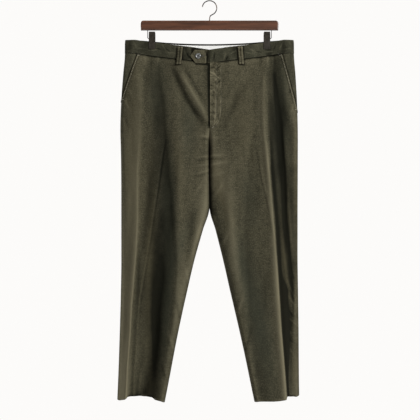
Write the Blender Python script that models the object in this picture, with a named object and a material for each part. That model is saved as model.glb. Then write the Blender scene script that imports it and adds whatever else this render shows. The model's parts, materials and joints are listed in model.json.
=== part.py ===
"""Corduroy trousers hanging from a wooden clip hanger, in metres, with +Z up and the front facing -Y.

The origin is the inner crown of the hanger's hook. Right and left are the wearer's: the right leg is at -X.
Each panel is a thin wall whose outer face follows one cloth surface. A level is a height down the cloth
before the waist sags between the clips.
"""

import math

import bmesh
import bpy
import numpy as np
from mathutils import Vector
from mathutils.bvhtree import BVHTree

# ---- Driving dimensions, in metres ----
GAP = 0.0004
CLOTH = 0.0016
BAND_CLOTH = 0.0024
LINING = 0.0010
LINING_REACH = 0.2260
LINING_BELOW_TOP = 0.0030
BAND_PROUD = 0.0005
BAND_HEIGHT = 0.0385
BAND_TOP = -0.1134
WAIST_SEAM = BAND_TOP - BAND_HEIGHT
CROTCH = -0.4170
CROTCH_CURVE_TOP = -0.3100
LENS_CLOSED = -0.6200
HEM = -1.1520
POCKET_TOP_X = {"right": 0.2075, "left": 0.2090}
POCKET_BOTTOM = {"right": -0.2895, "left": -0.3190}
FACING_UNDER = 0.0100
FACING_SHOWN = 0.0022
FACING_CLEAR = 0.0018
FACING_CLOTH = 0.0012
FACING_END = 0.0150

CLIP_X = 0.1665
CLIP_FLAT = 0.0160
CLIP_WIDTH = 0.0190
PINCH_INWARD = 0.1150
PINCH_OUTWARD = 0.0600
FRONT_PINCHED = 0.0021
BACK_PINCHED = 0.0033
FRONT_SAG = 0.0300
FRONT_SAG_REACH = 0.2150
BACK_SAG = 0.0107
BACK_SAG_REACH = 0.2000
SAG_ENDS = -0.4000
PINCH_LEVELS = (-0.3000, -0.1480)
BACK_PULLED_FLAT = 0.86

SIDES = {"right": -1.0, "left": 1.0}

# One row for each section down the garment. outer and inner are distances from the centre line,
# outer_back and inner_back say how far behind the hook the side seam and the inseam lie, front and back
# are the depths of the cloth before and behind the line between them, roll is the radius of the rolled
# side, and crease is the front crease's place as a share of the way from the inside to the outside.
SECTION_COLUMNS = ("level", "outer", "inner", "outer_back", "inner_back", "front", "back", "roll", "crease")
SECTIONS = {
    "right": (
        (-0.1134, 0.2415, 0.0002, 0.000, 0.000, 0.021, 0.014, 0.006, 0.50),
        (-0.1250, 0.2450, 0.0002, 0.000, 0.000, 0.021, 0.014, 0.006, 0.50),
        (-0.1510, 0.2452, 0.0002, 0.000, 0.000, 0.022, 0.015, 0.006, 0.50),
        (-0.2110, 0.2502, 0.0002, 0.000, 0.000, 0.027, 0.019, 0.008, 0.50),
        (-0.2810, 0.2557, 0.0002, 0.002, 0.000, 0.031, 0.024, 0.010, 0.49),
        (-0.3740, 0.2588, 0.0003, 0.004, 0.000, 0.034, 0.028, 0.012, 0.49),
        (-0.4320, 0.2575, 0.0003, 0.005, 0.000, 0.035, 0.031, 0.013, 0.50),
        (-0.6000, 0.2563, 0.0006, 0.006, -0.004, 0.035, 0.036, 0.014, 0.58),
        (-0.6635, 0.2563, 0.0191, 0.006, -0.005, 0.034, 0.038, 0.014, 0.63),
        (-0.7505, 0.2563, 0.0436, 0.007, -0.007, 0.033, 0.040, 0.014, 0.66),
        (-0.8375, 0.2576, 0.0640, 0.008, -0.010, 0.030, 0.042, 0.014, 0.69),
        (-0.9535, 0.2608, 0.0893, 0.010, -0.016, 0.024, 0.046, 0.013, 0.69),
        (-1.0695, 0.2649, 0.1119, 0.013, -0.024, 0.017, 0.052, 0.012, 0.69),
        (-1.1560, 0.2688, 0.1290, 0.015, -0.030, 0.012, 0.056, 0.010, 0.66),
    ),
    "left": (
        (-0.1134, 0.2410, 0.0002, 0.000, 0.000, 0.021, 0.014, 0.006, 0.55),
        (-0.1250, 0.2445, 0.0002, 0.000, 0.000, 0.021, 0.014, 0.006, 0.55),
        (-0.1510, 0.2447, 0.0002, 0.000, 0.000, 0.022, 0.015, 0.006, 0.56),
        (-0.2110, 0.2492, 0.0002, 0.000, 0.000, 0.027, 0.019, 0.008, 0.60),
        (-0.2810, 0.2535, 0.0002, 0.002, 0.000, 0.031, 0.024, 0.010, 0.62),
        (-0.3740, 0.2564, 0.0003, 0.004, 0.000, 0.035, 0.028, 0.012, 0.66),
        (-0.4320, 0.2567, 0.0003, 0.007, 0.000, 0.036, 0.031, 0.013, 0.67),
        (-0.6000, 0.2567, 0.0006, 0.014, -0.002, 0.037, 0.036, 0.014, 0.70),
        (-0.6635, 0.2570, 0.0175, 0.018, -0.004, 0.038, 0.038, 0.014, 0.715),
        (-0.7505, 0.2573, 0.0394, 0.022, -0.006, 0.040, 0.040, 0.014, 0.715),
        (-0.8375, 0.2589, 0.0592, 0.027, -0.009, 0.042, 0.043, 0.013, 0.71),
        (-0.9535, 0.2611, 0.0862, 0.034, -0.013, 0.045, 0.047, 0.012, 0.71),
        (-1.0695, 0.2625, 0.1117, 0.042, -0.017, 0.048, 0.050, 0.011, 0.71),
        (-1.1560, 0.2642, 0.1300, 0.050, -0.020, 0.050, 0.052, 0.010, 0.71),
    ),
}

# How far each hem point is above the hem level, at shares of the way from the inseam to the side seam.
HEM_COLUMNS = ("share", "rise")
HEM_RISE = {
    "right": ((0.0, -0.0040), (0.30, 0.0010), (0.50, 0.0030), (0.75, 0.0020), (1.0, -0.0020)),
    "left": ((0.0, -0.0050), (0.35, -0.0010), (0.71, 0.0040), (0.85, 0.0010), (1.0, 0.0000)),
}

# One row for each point down a fold's line. x is its distance from the centre line, height is how far it
# stands out of the panel, in is its half-width towards the inseam and out its half-width the other way.
FOLD_COLUMNS = ("level", "x", "height", "in", "out")
FRONT_FOLDS = {
    "right": {
        "outer_ridge": (
            (-0.176, 0.193, 0.000, 0.020, 0.028),
            (-0.315, 0.193, 0.004, 0.020, 0.028),
            (-0.533, 0.199, 0.008, 0.020, 0.028),
            (-0.707, 0.210, 0.010, 0.019, 0.026),
            (-0.852, 0.222, 0.012, 0.016, 0.022),
            (-1.012, 0.232, 0.014, 0.012, 0.018),
            (-1.156, 0.241, 0.017, 0.009, 0.014),
        ),
        "middle_trough": (
            (-0.151, 0.155, -0.002, 0.020, 0.020),
            (-0.272, 0.143, -0.008, 0.024, 0.022),
            (-0.374, 0.140, -0.010, 0.026, 0.024),
            (-0.519, 0.127, -0.012, 0.026, 0.024),
            (-0.722, 0.127, -0.012, 0.024, 0.024),
            (-0.867, 0.147, -0.013, 0.023, 0.024),
            (-1.012, 0.167, -0.020, 0.023, 0.024),
            (-1.156, 0.188, -0.034, 0.028, 0.028),
        ),
        "inner_ridge": (
            (-0.345, 0.077, 0.000, 0.016, 0.016),
            (-0.519, 0.086, 0.006, 0.017, 0.017),
            (-0.693, 0.086, 0.007, 0.017, 0.017),
            (-0.867, 0.097, 0.005, 0.016, 0.016),
            (-1.012, 0.120, 0.000, 0.016, 0.016),
        ),
        "fly_trough": (
            (-0.176, 0.112, -0.001, 0.012, 0.012),
            (-0.229, 0.092, -0.006, 0.012, 0.013),
            (-0.301, 0.057, -0.007, 0.012, 0.012),
            (-0.350, 0.024, -0.004, 0.011, 0.012),
            (-0.380, 0.010, 0.000, 0.010, 0.010),
        ),
    },
    "left": {
        "crease_ridge": (
            (-0.170, 0.161, 0.000, 0.028, 0.014),
            (-0.230, 0.161, 0.006, 0.030, 0.013),
            (-0.368, 0.170, 0.009, 0.032, 0.012),
            (-0.577, 0.181, 0.011, 0.034, 0.012),
            (-0.867, 0.203, 0.012, 0.036, 0.013),
            (-1.156, 0.225, 0.015, 0.040, 0.013),
        ),
        "outer_trough": (
            (-0.170, 0.196, -0.003, 0.013, 0.013),
            (-0.345, 0.203, -0.009, 0.013, 0.015),
            (-0.490, 0.203, -0.010, 0.014, 0.015),
            (-0.577, 0.214, -0.008, 0.012, 0.014),
            (-0.751, 0.224, -0.005, 0.010, 0.012),
            (-1.156, 0.243, -0.003, 0.008, 0.010),
        ),
        "inner_ridge": (
            (-0.432, 0.054, 0.000, 0.017, 0.017),
            (-0.548, 0.059, 0.006, 0.017, 0.018),
            (-0.751, 0.066, 0.006, 0.017, 0.018),
            (-0.925, 0.103, 0.000, 0.017, 0.017),
        ),
        "fly_trough": (
            (-0.214, 0.115, 0.000, 0.012, 0.012),
            (-0.243, 0.090, -0.004, 0.012, 0.012),
            (-0.301, 0.064, -0.005, 0.012, 0.012),
            (-0.350, 0.040, -0.003, 0.012, 0.012),
            (-0.388, 0.020, 0.000, 0.012, 0.012),
        ),
    },
}
BACK_FOLDS = {
    "right": {
        "crease_ridge": (
            (-0.430, 0.128, 0.000, 0.030, 0.026),
            (-0.600, 0.136, 0.006, 0.030, 0.026),
            (-0.860, 0.158, 0.009, 0.026, 0.022),
            (-1.156, 0.196, 0.013, 0.022, 0.018),
        ),
        "seat_trough": (
            (-0.240, 0.150, 0.000, 0.022, 0.026),
            (-0.330, 0.122, -0.006, 0.022, 0.026),
            (-0.450, 0.078, -0.008, 0.020, 0.024),
            (-0.560, 0.054, 0.000, 0.018, 0.020),
        ),
        "side_trough": (
            (-0.520, 0.205, 0.000, 0.018, 0.016),
            (-0.700, 0.206, -0.008, 0.018, 0.016),
            (-0.930, 0.214, -0.006, 0.016, 0.014),
            (-1.100, 0.226, 0.000, 0.014, 0.012),
        ),
    },
    "left": {
        "crease_ridge": (
            (-0.400, 0.130, 0.000, 0.030, 0.026),
            (-0.620, 0.142, 0.007, 0.030, 0.026),
            (-0.900, 0.168, 0.010, 0.026, 0.022),
            (-1.156, 0.204, 0.014, 0.022, 0.016),
        ),
        "seat_trough": (
            (-0.220, 0.138, 0.000, 0.022, 0.024),
            (-0.310, 0.112, -0.007, 0.020, 0.024),
            (-0.420, 0.074, -0.007, 0.020, 0.022),
            (-0.520, 0.048, 0.000, 0.018, 0.018),
        ),
        "side_trough": (
            (-0.580, 0.198, 0.000, 0.018, 0.016),
            (-0.760, 0.200, -0.007, 0.018, 0.016),
            (-0.980, 0.212, -0.005, 0.016, 0.014),
        ),
    },
}
FOLD_EDGE = 0.0140  # a fold dies out within this distance of a seam

# Grid sizes of the panels
CAP_STEPS = 3
INNER_STEPS = 5
OUTER_STEPS = 6
UPPER_ROWS = 13
LOWER_ROWS = 20
BACK_INNER_STEPS = 4
BACK_OUTER_STEPS = 5
BACK_CREASE = 0.55
FACING_STEPS = 5
CLIP_COLUMN_INSET = 0.0010
COLUMN_SPACING = 0.0050
BAND_SIDE_REACH = 0.0060

# Overlays on the front, in metres
TAB_TOP = -0.1450
TAB_BOTTOM = -0.1828
TAB_SHOULDER_X = -0.0415
TAB_TIP_X = -0.0550
TAB_CLOTH = 0.0022
TAB_LIFT = 0.0006
TAB_WIDEST = 0.45
BUTTON_CENTRE = (-0.0326, -0.1624)
BUTTON_RADIUS = 0.0080
BUTTON_THICKNESS = 0.0026
BUTTON_LIFT = 0.0006
BUTTON_REACH = 0.0060
FLY_TOP = -0.1850
FLY_WIDTH = 0.0340
FLY_START = 0.0020
FLY_END = 0.0060
FLY_BOTTOM = -0.3690
FLY_CURVE_TOP = -0.3120
FLY_CLOTH = 0.0011
FLY_LIFT = 0.0009
LOOP_WIDTH = 0.0150
LOOP_CLOTH = 0.0018
LOOP_LIFT = 0.0006
LOOP_LENGTH = 0.0500
LOOP_COLUMNS = ("place", "top_x", "bottom_x", "top", "facing")
BELT_LOOPS = (
    ("front_right", -0.0843, -0.0894, -0.1350, -1.0),
    ("front_left", 0.0880, 0.0922, -0.1346, -1.0),
    ("back_right", -0.1180, -0.1190, -0.1235, 1.0),
    ("back_left", 0.1180, 0.1190, -0.1235, 1.0),
    ("back_centre", 0.0, 0.0, -0.1265, 1.0),
)

# The hanger, in metres
BAR_WIDTH = 0.4000
BAR_TOP = -0.0568
BAR_BOTTOM = -0.0844
BAR_THICKNESS = 0.0140
BAR_CORNER = 0.0085
BAR_EDGE = 0.0025
BAR_FOOT_INSET = 0.0010
WIRE_RADIUS = 0.0015
HOOK_RADIUS = 0.0210
LINK_RADIUS = 0.0010
JAW_TOP = -0.0896
JAW_BOTTOM = -0.1392
JAW_THICKNESS = 0.0012
JAW_NARROWER = 0.0006
JAW_LEAN = ((JAW_TOP, 0.0050), (-0.1000, 0.0016), (-0.1130, 0.0), (JAW_BOTTOM, 0.0))
PIVOT_Z = -0.1085
BARREL_RADIUS = 0.0030
BARREL_LENGTH = 0.0120
LINK_X = 0.1795
LINK_BEND = 0.0040


# ---- The cloth surface ----
def column(table, names, wanted):
    """One named column of a table, as an array."""
    return np.array([row[names.index(wanted)] for row in table])


def eased(level, levels, values):
    """A value at a level, on a smooth curve through the table's rows that never overshoots them."""
    x, y = -levels, values
    steps = np.diff(y) / np.diff(x)
    slope = np.gradient(y, x)
    before, after = np.append(steps[0], steps), np.append(steps, steps[-1])
    limit = 3 * np.minimum(np.abs(before), np.abs(after))
    slope = np.where(before * after > 0, np.clip(slope, -limit, limit), 0.0)
    i = int(np.clip(np.searchsorted(x, -level) - 1, 0, len(x) - 2))
    span = x[i + 1] - x[i]
    t = float(np.clip((-level - x[i]) / span, 0.0, 1.0))
    start = (1 + 2 * t) * (1 - t) ** 2 * y[i] + t * (1 - t) ** 2 * span * slope[i]
    return start + t * t * (3 - 2 * t) * y[i + 1] + t * t * (t - 1) * span * slope[i + 1]


def ramp(value, low, high):
    """0 at low, 1 at high, and smooth between them."""
    t = np.clip((value - low) / (high - low), 0.0, 1.0)
    return t * t * (3 - 2 * t)


def section(side, level):
    """The named values of the section at a level."""
    table = SECTIONS[side]
    levels = column(table, SECTION_COLUMNS, "level")
    return {name: eased(level, levels, column(table, SECTION_COLUMNS, name)) for name in SECTION_COLUMNS}


def closing(level):
    """0 above the crotch curve, where the section is open at the centre, and 1 below the crotch."""
    return float(np.clip((CROTCH_CURVE_TOP - level) / (CROTCH_CURVE_TOP - CROTCH), 0.0, 1.0))


def pinch(face, x, level):
    """How far the clips press the cloth flat: 1 under a clip."""
    beside = np.abs(x) - CLIP_X
    inward = 1 - ramp(-beside, CLIP_FLAT, PINCH_INWARD)
    outward = 1 - ramp(beside, CLIP_FLAT, PINCH_OUTWARD)
    across = np.where(beside < 0, inward, outward)
    if face == "back":
        across = np.where(beside < 0, np.maximum(inward, BACK_PULLED_FLAT), outward)
    return across * ramp(level, *PINCH_LEVELS)


def fold_height(face, side, x, level):
    """The folds' height at a distance x from the centre line."""
    folds = (FRONT_FOLDS if face == "front" else BACK_FOLDS)[side]
    height = np.zeros_like(x)
    for table in folds.values():
        levels = column(table, FOLD_COLUMNS, "level")
        if not levels[-1] <= level <= levels[0]:
            continue
        at = {name: eased(level, levels, column(table, FOLD_COLUMNS, name)) for name in FOLD_COLUMNS}
        beside = x - at["x"]
        width = np.where(beside < 0, at["in"], at["out"])
        height += at["height"] * np.exp(-((beside / width) ** 2))
    return height


def depth(face, side, x, level, proud=0.0):
    """The y of the cloth's outer face at distances x from the centre line."""
    s = section(side, level)
    outer = s["outer"] + proud
    span = outer - s["inner"]
    share = np.clip((x - s["inner"]) / span, 0.0, 1.0)
    from_side = np.clip((outer - x) / s["roll"], 0.0, 1.0)
    from_inside = np.clip((x - s["inner"]) / s["roll"], 0.0, 1.0)
    closed = closing(level)
    crease = s["crease"] if face == "front" else BACK_CREASE
    tapered = ramp(-level, -CROTCH_CURVE_TOP, -LENS_CLOSED)
    inside = 1 - tapered * (1 - np.clip(share / crease, 0.0, 1.0))
    outside = np.clip((1 - share) / (1 - crease), 0.0, 1.0)
    lens = 1 - (1 - np.where(share < crease, inside, outside)) ** 2
    side_cap = np.sqrt(np.clip(1 - (1 - from_side) ** 2, 0.0, 1.0))
    inner_cap = np.sqrt(np.clip(1 - (closed * (1 - from_inside)) ** 2, 0.0, 1.0))
    full = s["roll"] + (s[face] - s["roll"]) * lens
    edges = ramp(outer - x, 0.0, FOLD_EDGE) * ramp(x - s["inner"], 0.0, FOLD_EDGE)
    pressed = pinch(face, x, level)
    folds = fold_height(face, side, x, level) * edges * (1 - pressed)
    held = FRONT_PINCHED if face == "front" else BACK_PINCHED
    out = full * (1 - pressed) + held * pressed + folds
    out = out * side_cap * inner_cap + GAP / 2 + proud
    line = s["inner_back"] + (s["outer_back"] - s["inner_back"]) * share
    return line - out if face == "front" else line + out


def sag(face, x):
    """How far the waist drops between the clips at a distance x from the centre line."""
    if face == "front":
        return FRONT_SAG * np.clip(1 - x / FRONT_SAG_REACH, 0.0, 1.0) ** 1.05
    return BACK_SAG * np.clip(1 - (x / BACK_SAG_REACH) ** 2, 0.0, 1.0)


def heights(face, side, x, level):
    """The z of the cloth at distances x from the centre line."""
    s = section(side, level)
    share = np.clip((x - s["inner"]) / (s["outer"] - s["inner"]), 0.0, 1.0)
    hem = HEM_RISE[side]
    rise = np.interp(share, column(hem, HEM_COLUMNS, "share"), column(hem, HEM_COLUMNS, "rise"))
    return level - sag(face, x) * ramp(level, SAG_ENDS, WAIST_SEAM) + rise * (1 - ramp(level, HEM, -1.0))


def row_points(face, side, xs, level, proud=0.0):
    """The points of one row, as an array, on the given side of the centre line."""
    x = np.asarray(xs, float)
    y = depth(face, side, x, level, proud)
    return np.stack([SIDES[side] * x, y, heights(face, side, x, level)], axis=1)


# ---- Columns and rows of the panels ----
def panel_columns(face, side, level, edge=None, proud=0.0):
    """Distances from the centre line, close together at the rolled edges."""
    s = section(side, level)
    outer, inner = s["outer"] + proud, s["inner"]
    crease = s["crease"] if face == "front" else BACK_CREASE
    middle = inner + (outer - inner) * crease
    steps = (INNER_STEPS, OUTER_STEPS) if face == "front" else (BACK_INNER_STEPS, BACK_OUTER_STEPS)
    turn = 1 - np.cos(np.linspace(0, math.pi / 2, CAP_STEPS + 1))
    inner_cap = inner + s["roll"] * turn
    outer_cap = outer - s["roll"] * turn[::-1]
    inside = np.linspace(inner_cap[-1], middle, steps[0] + 1)[1:]
    outside = np.linspace(middle, outer_cap[0], steps[1] + 1)[1:]
    xs = np.concatenate([inner_cap, inside, outside, outer_cap[1:]])
    if edge is not None and edge < outer:
        squeeze = (edge - middle) / (outer - middle)
        xs = np.where(xs > middle, middle + (xs - middle) * squeeze, xs)
    return xs


def panel_levels(side):
    """Rows from the waist seam to the hem, closer together towards the crotch, one at the pocket's end."""
    steps = np.linspace(0, 1, UPPER_ROWS + 1)
    top = WAIST_SEAM - GAP
    upper = top + (CROTCH - top) * (1 - (1 - steps) ** 1.6)
    upper[np.argmin(np.abs(upper - POCKET_BOTTOM[side]))] = POCKET_BOTTOM[side]
    lower = np.linspace(CROTCH, HEM, LOWER_ROWS + 1)[1:]
    return np.concatenate([upper, lower])


def pocket_edge(side, level):
    """The slanted pocket edge's distance from the centre line, or None below the pocket."""
    top_x, bottom = POCKET_TOP_X[side], POCKET_BOTTOM[side]
    if level <= bottom:
        return None
    bottom_x = section(side, bottom)["outer"]
    share = (WAIST_SEAM - level) / (WAIST_SEAM - bottom)
    return top_x + (bottom_x - top_x) * float(np.clip(share, 0.0, 1.0))


# ---- Solids ----
def finish(name, bm, material, smooth=True):
    """A closed bmesh made an object with its material."""
    bmesh.ops.recalc_face_normals(bm, faces=bm.faces)
    mesh = bpy.data.meshes.new(name)
    bm.to_mesh(mesh)
    bm.free()
    if smooth:
        mesh.shade_smooth()
        mesh.set_sharp_from_angle(angle=math.radians(40))
    mesh.materials.append(material)
    obj = bpy.data.objects.new(name, mesh)
    bpy.context.collection.objects.link(obj)
    return obj


def outward(points, before_first, after_last, facing):
    """Unit normals of a grid of points, given its neighbours past the first and last columns."""
    wide = np.concatenate([before_first[:, None], points, after_last[:, None]], axis=1)
    across = wide[:, 2:] - wide[:, :-2]
    down = np.gradient(points, axis=0)
    normal = np.cross(across, down)
    normal /= np.linalg.norm(normal, axis=2, keepdims=True)
    middle = normal[:, points.shape[1] // 2]
    if np.sum(middle[:, 1]) * facing < 0:
        normal = -normal
    return normal


def wall(name, outer, normals, thickness, material):
    """A thin wall: a grid set on the outer points, then extruded to the inner ones."""
    rows, columns = outer.shape[:2]
    bm = bmesh.new()
    row_of = bm.verts.layers.int.new("row")
    column_of = bm.verts.layers.int.new("column")
    grid = bmesh.ops.create_grid(bm, x_segments=columns - 1, y_segments=rows - 1, size=1.0)
    for vert in grid["verts"]:
        vert[row_of] = round((vert.co.y + 1) / 2 * (rows - 1))
        vert[column_of] = round((vert.co.x + 1) / 2 * (columns - 1))
        vert.co = Vector(outer[vert[row_of], vert[column_of]])
    inner = outer - normals * thickness
    copied = bmesh.ops.extrude_face_region(bm, geom=bm.faces[:], use_keep_orig=True)
    for vert in [item for item in copied["geom"] if isinstance(item, bmesh.types.BMVert)]:
        vert.co = Vector(inner[vert[row_of], vert[column_of]])
    return finish(name, bm, material)


def grid_of(face, side, levels, edges=None, proud=0.0):
    """The outer points of a panel and its neighbours past both edges."""
    rows, before, after = [], [], []
    other = "back" if face == "front" else "front"
    for i, level in enumerate(levels):
        xs = panel_columns(face, side, level, edges[i] if edges else None, proud)
        points = row_points(face, side, xs, level, proud)
        behind = row_points(other, side, xs, level, proud)
        closed = closing(level)
        mirrored = points[1] * np.array([-1.0, 1.0, 1.0])
        rows.append(points)
        before.append(mirrored * (1 - closed) + behind[1] * closed)
        at_seam = edges is None or edges[i] is None
        after.append(behind[-2] if at_seam else 2 * points[-1] - points[-2])
    return np.array(rows), np.array(before), np.array(after)


def facing_sign(face):
    return -1.0 if face == "front" else 1.0


def front_panel(side, material):
    levels = panel_levels(side)
    edges = [pocket_edge(side, level) for level in levels]
    points, before, after = grid_of("front", side, levels, edges)
    normals = outward(points, before, after, facing_sign("front"))
    return wall(f"front_panel_{side}", points, normals, CLOTH, material)


def back_panel(side, material):
    points, before, after = grid_of("back", side, panel_levels(side))
    normals = outward(points, before, after, facing_sign("back"))
    return wall(f"back_panel_{side}", points, normals, CLOTH, material)


def pocket_facing(side, material):
    """The piece under the slanted pocket edge, which comes out to the surface at the side seam."""
    end = POCKET_BOTTOM[side] + FACING_END
    levels = [level for level in panel_levels(side) if level > end]
    levels.append(end)
    rows, before, after, sunk = [], [], [], []
    for level in levels:
        outer = section(side, level)["outer"]
        edge = pocket_edge(side, level)
        covered = np.array([edge - FACING_UNDER, edge - FACING_UNDER / 2, edge + FACING_SHOWN])
        turn = np.sin(np.linspace(0, math.pi / 2, FACING_STEPS + 1))[1:]
        open_part = covered[-1] + (outer - covered[-1]) * turn
        xs = np.concatenate([covered, open_part])
        points = row_points("front", side, xs, level)
        rows.append(points)
        before.append(2 * points[0] - points[1])
        after.append(row_points("back", side, xs, level)[-2])
        rise = np.concatenate([np.zeros(3), turn])
        sunk.append((CLOTH + FACING_CLEAR) * (1 - rise))
    points = np.array(rows)
    normals = outward(points, np.array(before), np.array(after), facing_sign("front"))
    points = points - normals * np.array(sunk)[:, :, None]
    return wall(f"pocket_facing_{side}", points, normals, FACING_CLOTH, material)


def band_columns(face, side, level):
    """The waistband's columns: the panel's, with one at each side of the clip's flat."""
    xs = panel_columns(face, side, level, proud=BAND_PROUD)
    half = CLIP_FLAT - CLIP_COLUMN_INSET
    flat = np.array([CLIP_X - half, CLIP_X, CLIP_X + half])
    clear = [x for x in xs if np.min(np.abs(flat - x)) > COLUMN_SPACING]
    return np.sort(np.concatenate([clear, flat]))


def band_half(face, side):
    """The outer points and normals of half of the waistband."""
    levels = np.linspace(BAND_TOP, WAIST_SEAM, 4)
    other = "back" if face == "front" else "front"
    xs = band_columns(face, side, WAIST_SEAM)
    reach = section(side, WAIST_SEAM)["outer"] + BAND_PROUD
    rows, before, after = [], [], []
    for level in levels:
        outer = section(side, level)["outer"] + BAND_PROUD
        shift = (outer - reach) * ramp(xs, CLIP_X + CLIP_FLAT, reach - BAND_SIDE_REACH)
        points = row_points(face, side, xs + shift, level, BAND_PROUD)
        rows.append(points)
        before.append(points[1] * np.array([-1.0, 1.0, 1.0]))
        after.append(row_points(other, side, xs + shift, level, BAND_PROUD)[-2])
    points = np.array(rows)
    return points, outward(points, np.array(before), np.array(after), facing_sign(face))


def waistband_front(side, material):
    points, normals = band_half("front", side)
    return wall(f"waistband_front_{side}", points, normals, BAND_CLOTH, material)


def whole_back_band():
    """The outer points and normals of the back waistband, from side seam to side seam."""
    right, right_normals = band_half("back", "right")
    left, left_normals = band_half("back", "left")
    points = np.concatenate([right[:, :0:-1], left[:, 1:]], axis=1)
    normals = np.concatenate([right_normals[:, :0:-1], left_normals[:, 1:]], axis=1)
    return points, normals


def waistband_back(material):
    points, normals = whole_back_band()
    return wall("waistband_back", points, normals, BAND_CLOTH, material)


def waistband_lining(material):
    """The lining inside the back waistband, short of the side seams and a little below the top."""
    points, normals = whole_back_band()
    keep = [j for j in range(points.shape[1]) if abs(points[0, j, 0]) < LINING_REACH]
    points, normals = points[:, keep], normals[:, keep]
    points = points - normals * (BAND_CLOTH + GAP)
    points[0, :, 2] -= LINING_BELOW_TOP
    return wall("waistband_lining", points, normals, LINING, material)


# ---- Pieces that lie on the front ----
def skin(objects):
    """The faces of several solids as one tree, for laying a piece on them."""
    verts, faces = [], []
    for obj in objects:
        start = len(verts)
        verts += [v.co.copy() for v in obj.data.vertices]
        faces += [[start + i for i in polygon.vertices] for polygon in obj.data.polygons]
    return BVHTree.FromPolygons(verts, faces)


def lie_on(tree, x, z, facing):
    """The y of the outermost cloth at x and z, or just beside a seam there, from the side that it faces."""
    nearby = [(x + dx, z + dz) for dx in (-0.0010, 0.0, 0.0010) for dz in (-0.0010, 0.0, 0.0010)]
    hits = [tree.ray_cast(Vector((px, facing, pz)), Vector((0, -facing, 0)))[0] for px, pz in nearby]
    return facing * max(facing * hit.y for hit in hits if hit)


def overlay(name, outline, tree, facing, lift, thickness, material):
    """A wall laid over the cloth. outline is a grid of (x, z) places."""
    rows = []
    for row in outline:
        found = [lie_on(tree, x, z, facing) for x, z in row]
        rows.append([(x, y + facing * (lift + thickness), z) for (x, z), y in zip(row, found)])
    points = np.array(rows)
    normals = np.zeros_like(points)
    normals[:, :, 1] = facing
    return wall(name, points, normals, thickness, material)


def extension_tab(tree, material):
    """The pointed end of the left waistband, laid over the right one."""
    outline = []
    for share in np.linspace(0, 1, 7):
        z = TAB_TOP + (TAB_BOTTOM - TAB_TOP) * share
        to_tip = 1 - abs(share - TAB_WIDEST) / (1 - TAB_WIDEST)
        end = TAB_SHOULDER_X + (TAB_TIP_X - TAB_SHOULDER_X) * to_tip
        outline.append([(x, z) for x in np.linspace(-GAP, end, 7)])
    return overlay("extension_tab", outline, tree, -1.0, TAB_LIFT, TAB_CLOTH, material)


def fly_placket(tree, material):
    """The stitched part of the fly, straight down and then curved in to the centre seam."""
    outline = []
    straight = np.linspace(FLY_TOP, FLY_CURVE_TOP, 10)
    curved = np.linspace(FLY_CURVE_TOP, FLY_BOTTOM, 9)[1:]
    for z in np.concatenate([straight, curved]):
        bend = max(0.0, (FLY_CURVE_TOP - z) / (FLY_CURVE_TOP - FLY_BOTTOM))
        width = FLY_END + (FLY_WIDTH - FLY_END) * math.sqrt(max(0.0, 1 - bend * bend))
        outline.append([(x, z) for x in np.linspace(FLY_START, width, 6)])
    return overlay("fly_placket", outline, tree, -1.0, FLY_LIFT, FLY_CLOTH, material)


def belt_loop(loop, tree, material):
    """A strip from just under the band's top edge to just below its seam."""
    outline = []
    for share in np.linspace(0, 1, 7):
        x = loop["top_x"] + (loop["bottom_x"] - loop["top_x"]) * share
        z = loop["top"] - LOOP_LENGTH * share
        outline.append([(x + LOOP_WIDTH * (k - 0.5), z) for k in (0.0, 0.5, 1.0)])
    name = f"belt_loop_{loop['place']}"
    return overlay(name, outline, tree, loop["facing"], LOOP_LIFT, LOOP_CLOTH, material)


def waist_button(tree, material):
    """A turned button with a sunk middle, lying on the tab."""
    x, z = BUTTON_CENTRE
    reach = (-BUTTON_REACH, 0.0, BUTTON_REACH)
    rest = min(lie_on(tree, x + dx, z + dz, -1.0) for dx in reach for dz in reach)
    profile = (
        (0.0000, 0.0000),
        (0.0060, 0.0000),
        (0.0076, 0.0006),
        (BUTTON_RADIUS, 0.0013),
        (0.0076, 0.0022),
        (0.0066, BUTTON_THICKNESS),
        (0.0056, 0.0023),
        (0.0048, 0.0018),
        (0.0000, 0.0018),
    )
    bm = bmesh.new()
    verts = [bm.verts.new((r, -h, 0)) for r, h in profile]
    edges = [bm.edges.new(pair) for pair in zip(verts, verts[1:])]
    bmesh.ops.spin(
        bm, geom=verts + edges, cent=(0, 0, 0), axis=(0, 1, 0), angle=math.tau, steps=24, use_merge=True
    )
    bmesh.ops.remove_doubles(bm, verts=bm.verts, dist=1e-6)
    bmesh.ops.translate(bm, verts=bm.verts, vec=(x, rest - BUTTON_LIFT, z))
    return finish("waist_button", bm, material)


# ---- The hanger ----
def hanger_bar(material):
    """A flat wooden bar with rounded upper corners and soft edges."""
    half = BAR_WIDTH / 2
    bm = bmesh.new()
    corners = [(-half + BAR_FOOT_INSET, BAR_BOTTOM), (half - BAR_FOOT_INSET, BAR_BOTTOM)]
    for sign in (1, -1):
        centre = (sign * (half - BAR_CORNER), BAR_TOP - BAR_CORNER)
        angles = np.linspace(0, math.pi / 2, 5) if sign > 0 else np.linspace(math.pi / 2, math.pi, 5)
        for angle in angles:
            turned = (BAR_CORNER * math.cos(angle), BAR_CORNER * math.sin(angle))
            corners.append((centre[0] + turned[0], centre[1] + turned[1]))
    verts = [bm.verts.new((x, -BAR_THICKNESS / 2, z)) for x, z in corners]
    face = bm.faces.new(verts)
    pushed = bmesh.ops.extrude_face_region(bm, geom=[face])
    moved = [item for item in pushed["geom"] if isinstance(item, bmesh.types.BMVert)]
    bmesh.ops.translate(bm, verts=moved, vec=(0, BAR_THICKNESS, 0))
    rims = [e for e in bm.edges if abs(e.verts[0].co.y - e.verts[1].co.y) < 1e-6]
    bmesh.ops.bevel(
        bm,
        geom=rims,
        offset=BAR_EDGE,
        segments=2,
        profile=0.5,
        affect="EDGES",
        material=-1,
        clamp_overlap=True,
    )
    return finish("hanger_bar", bm, material)


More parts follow.
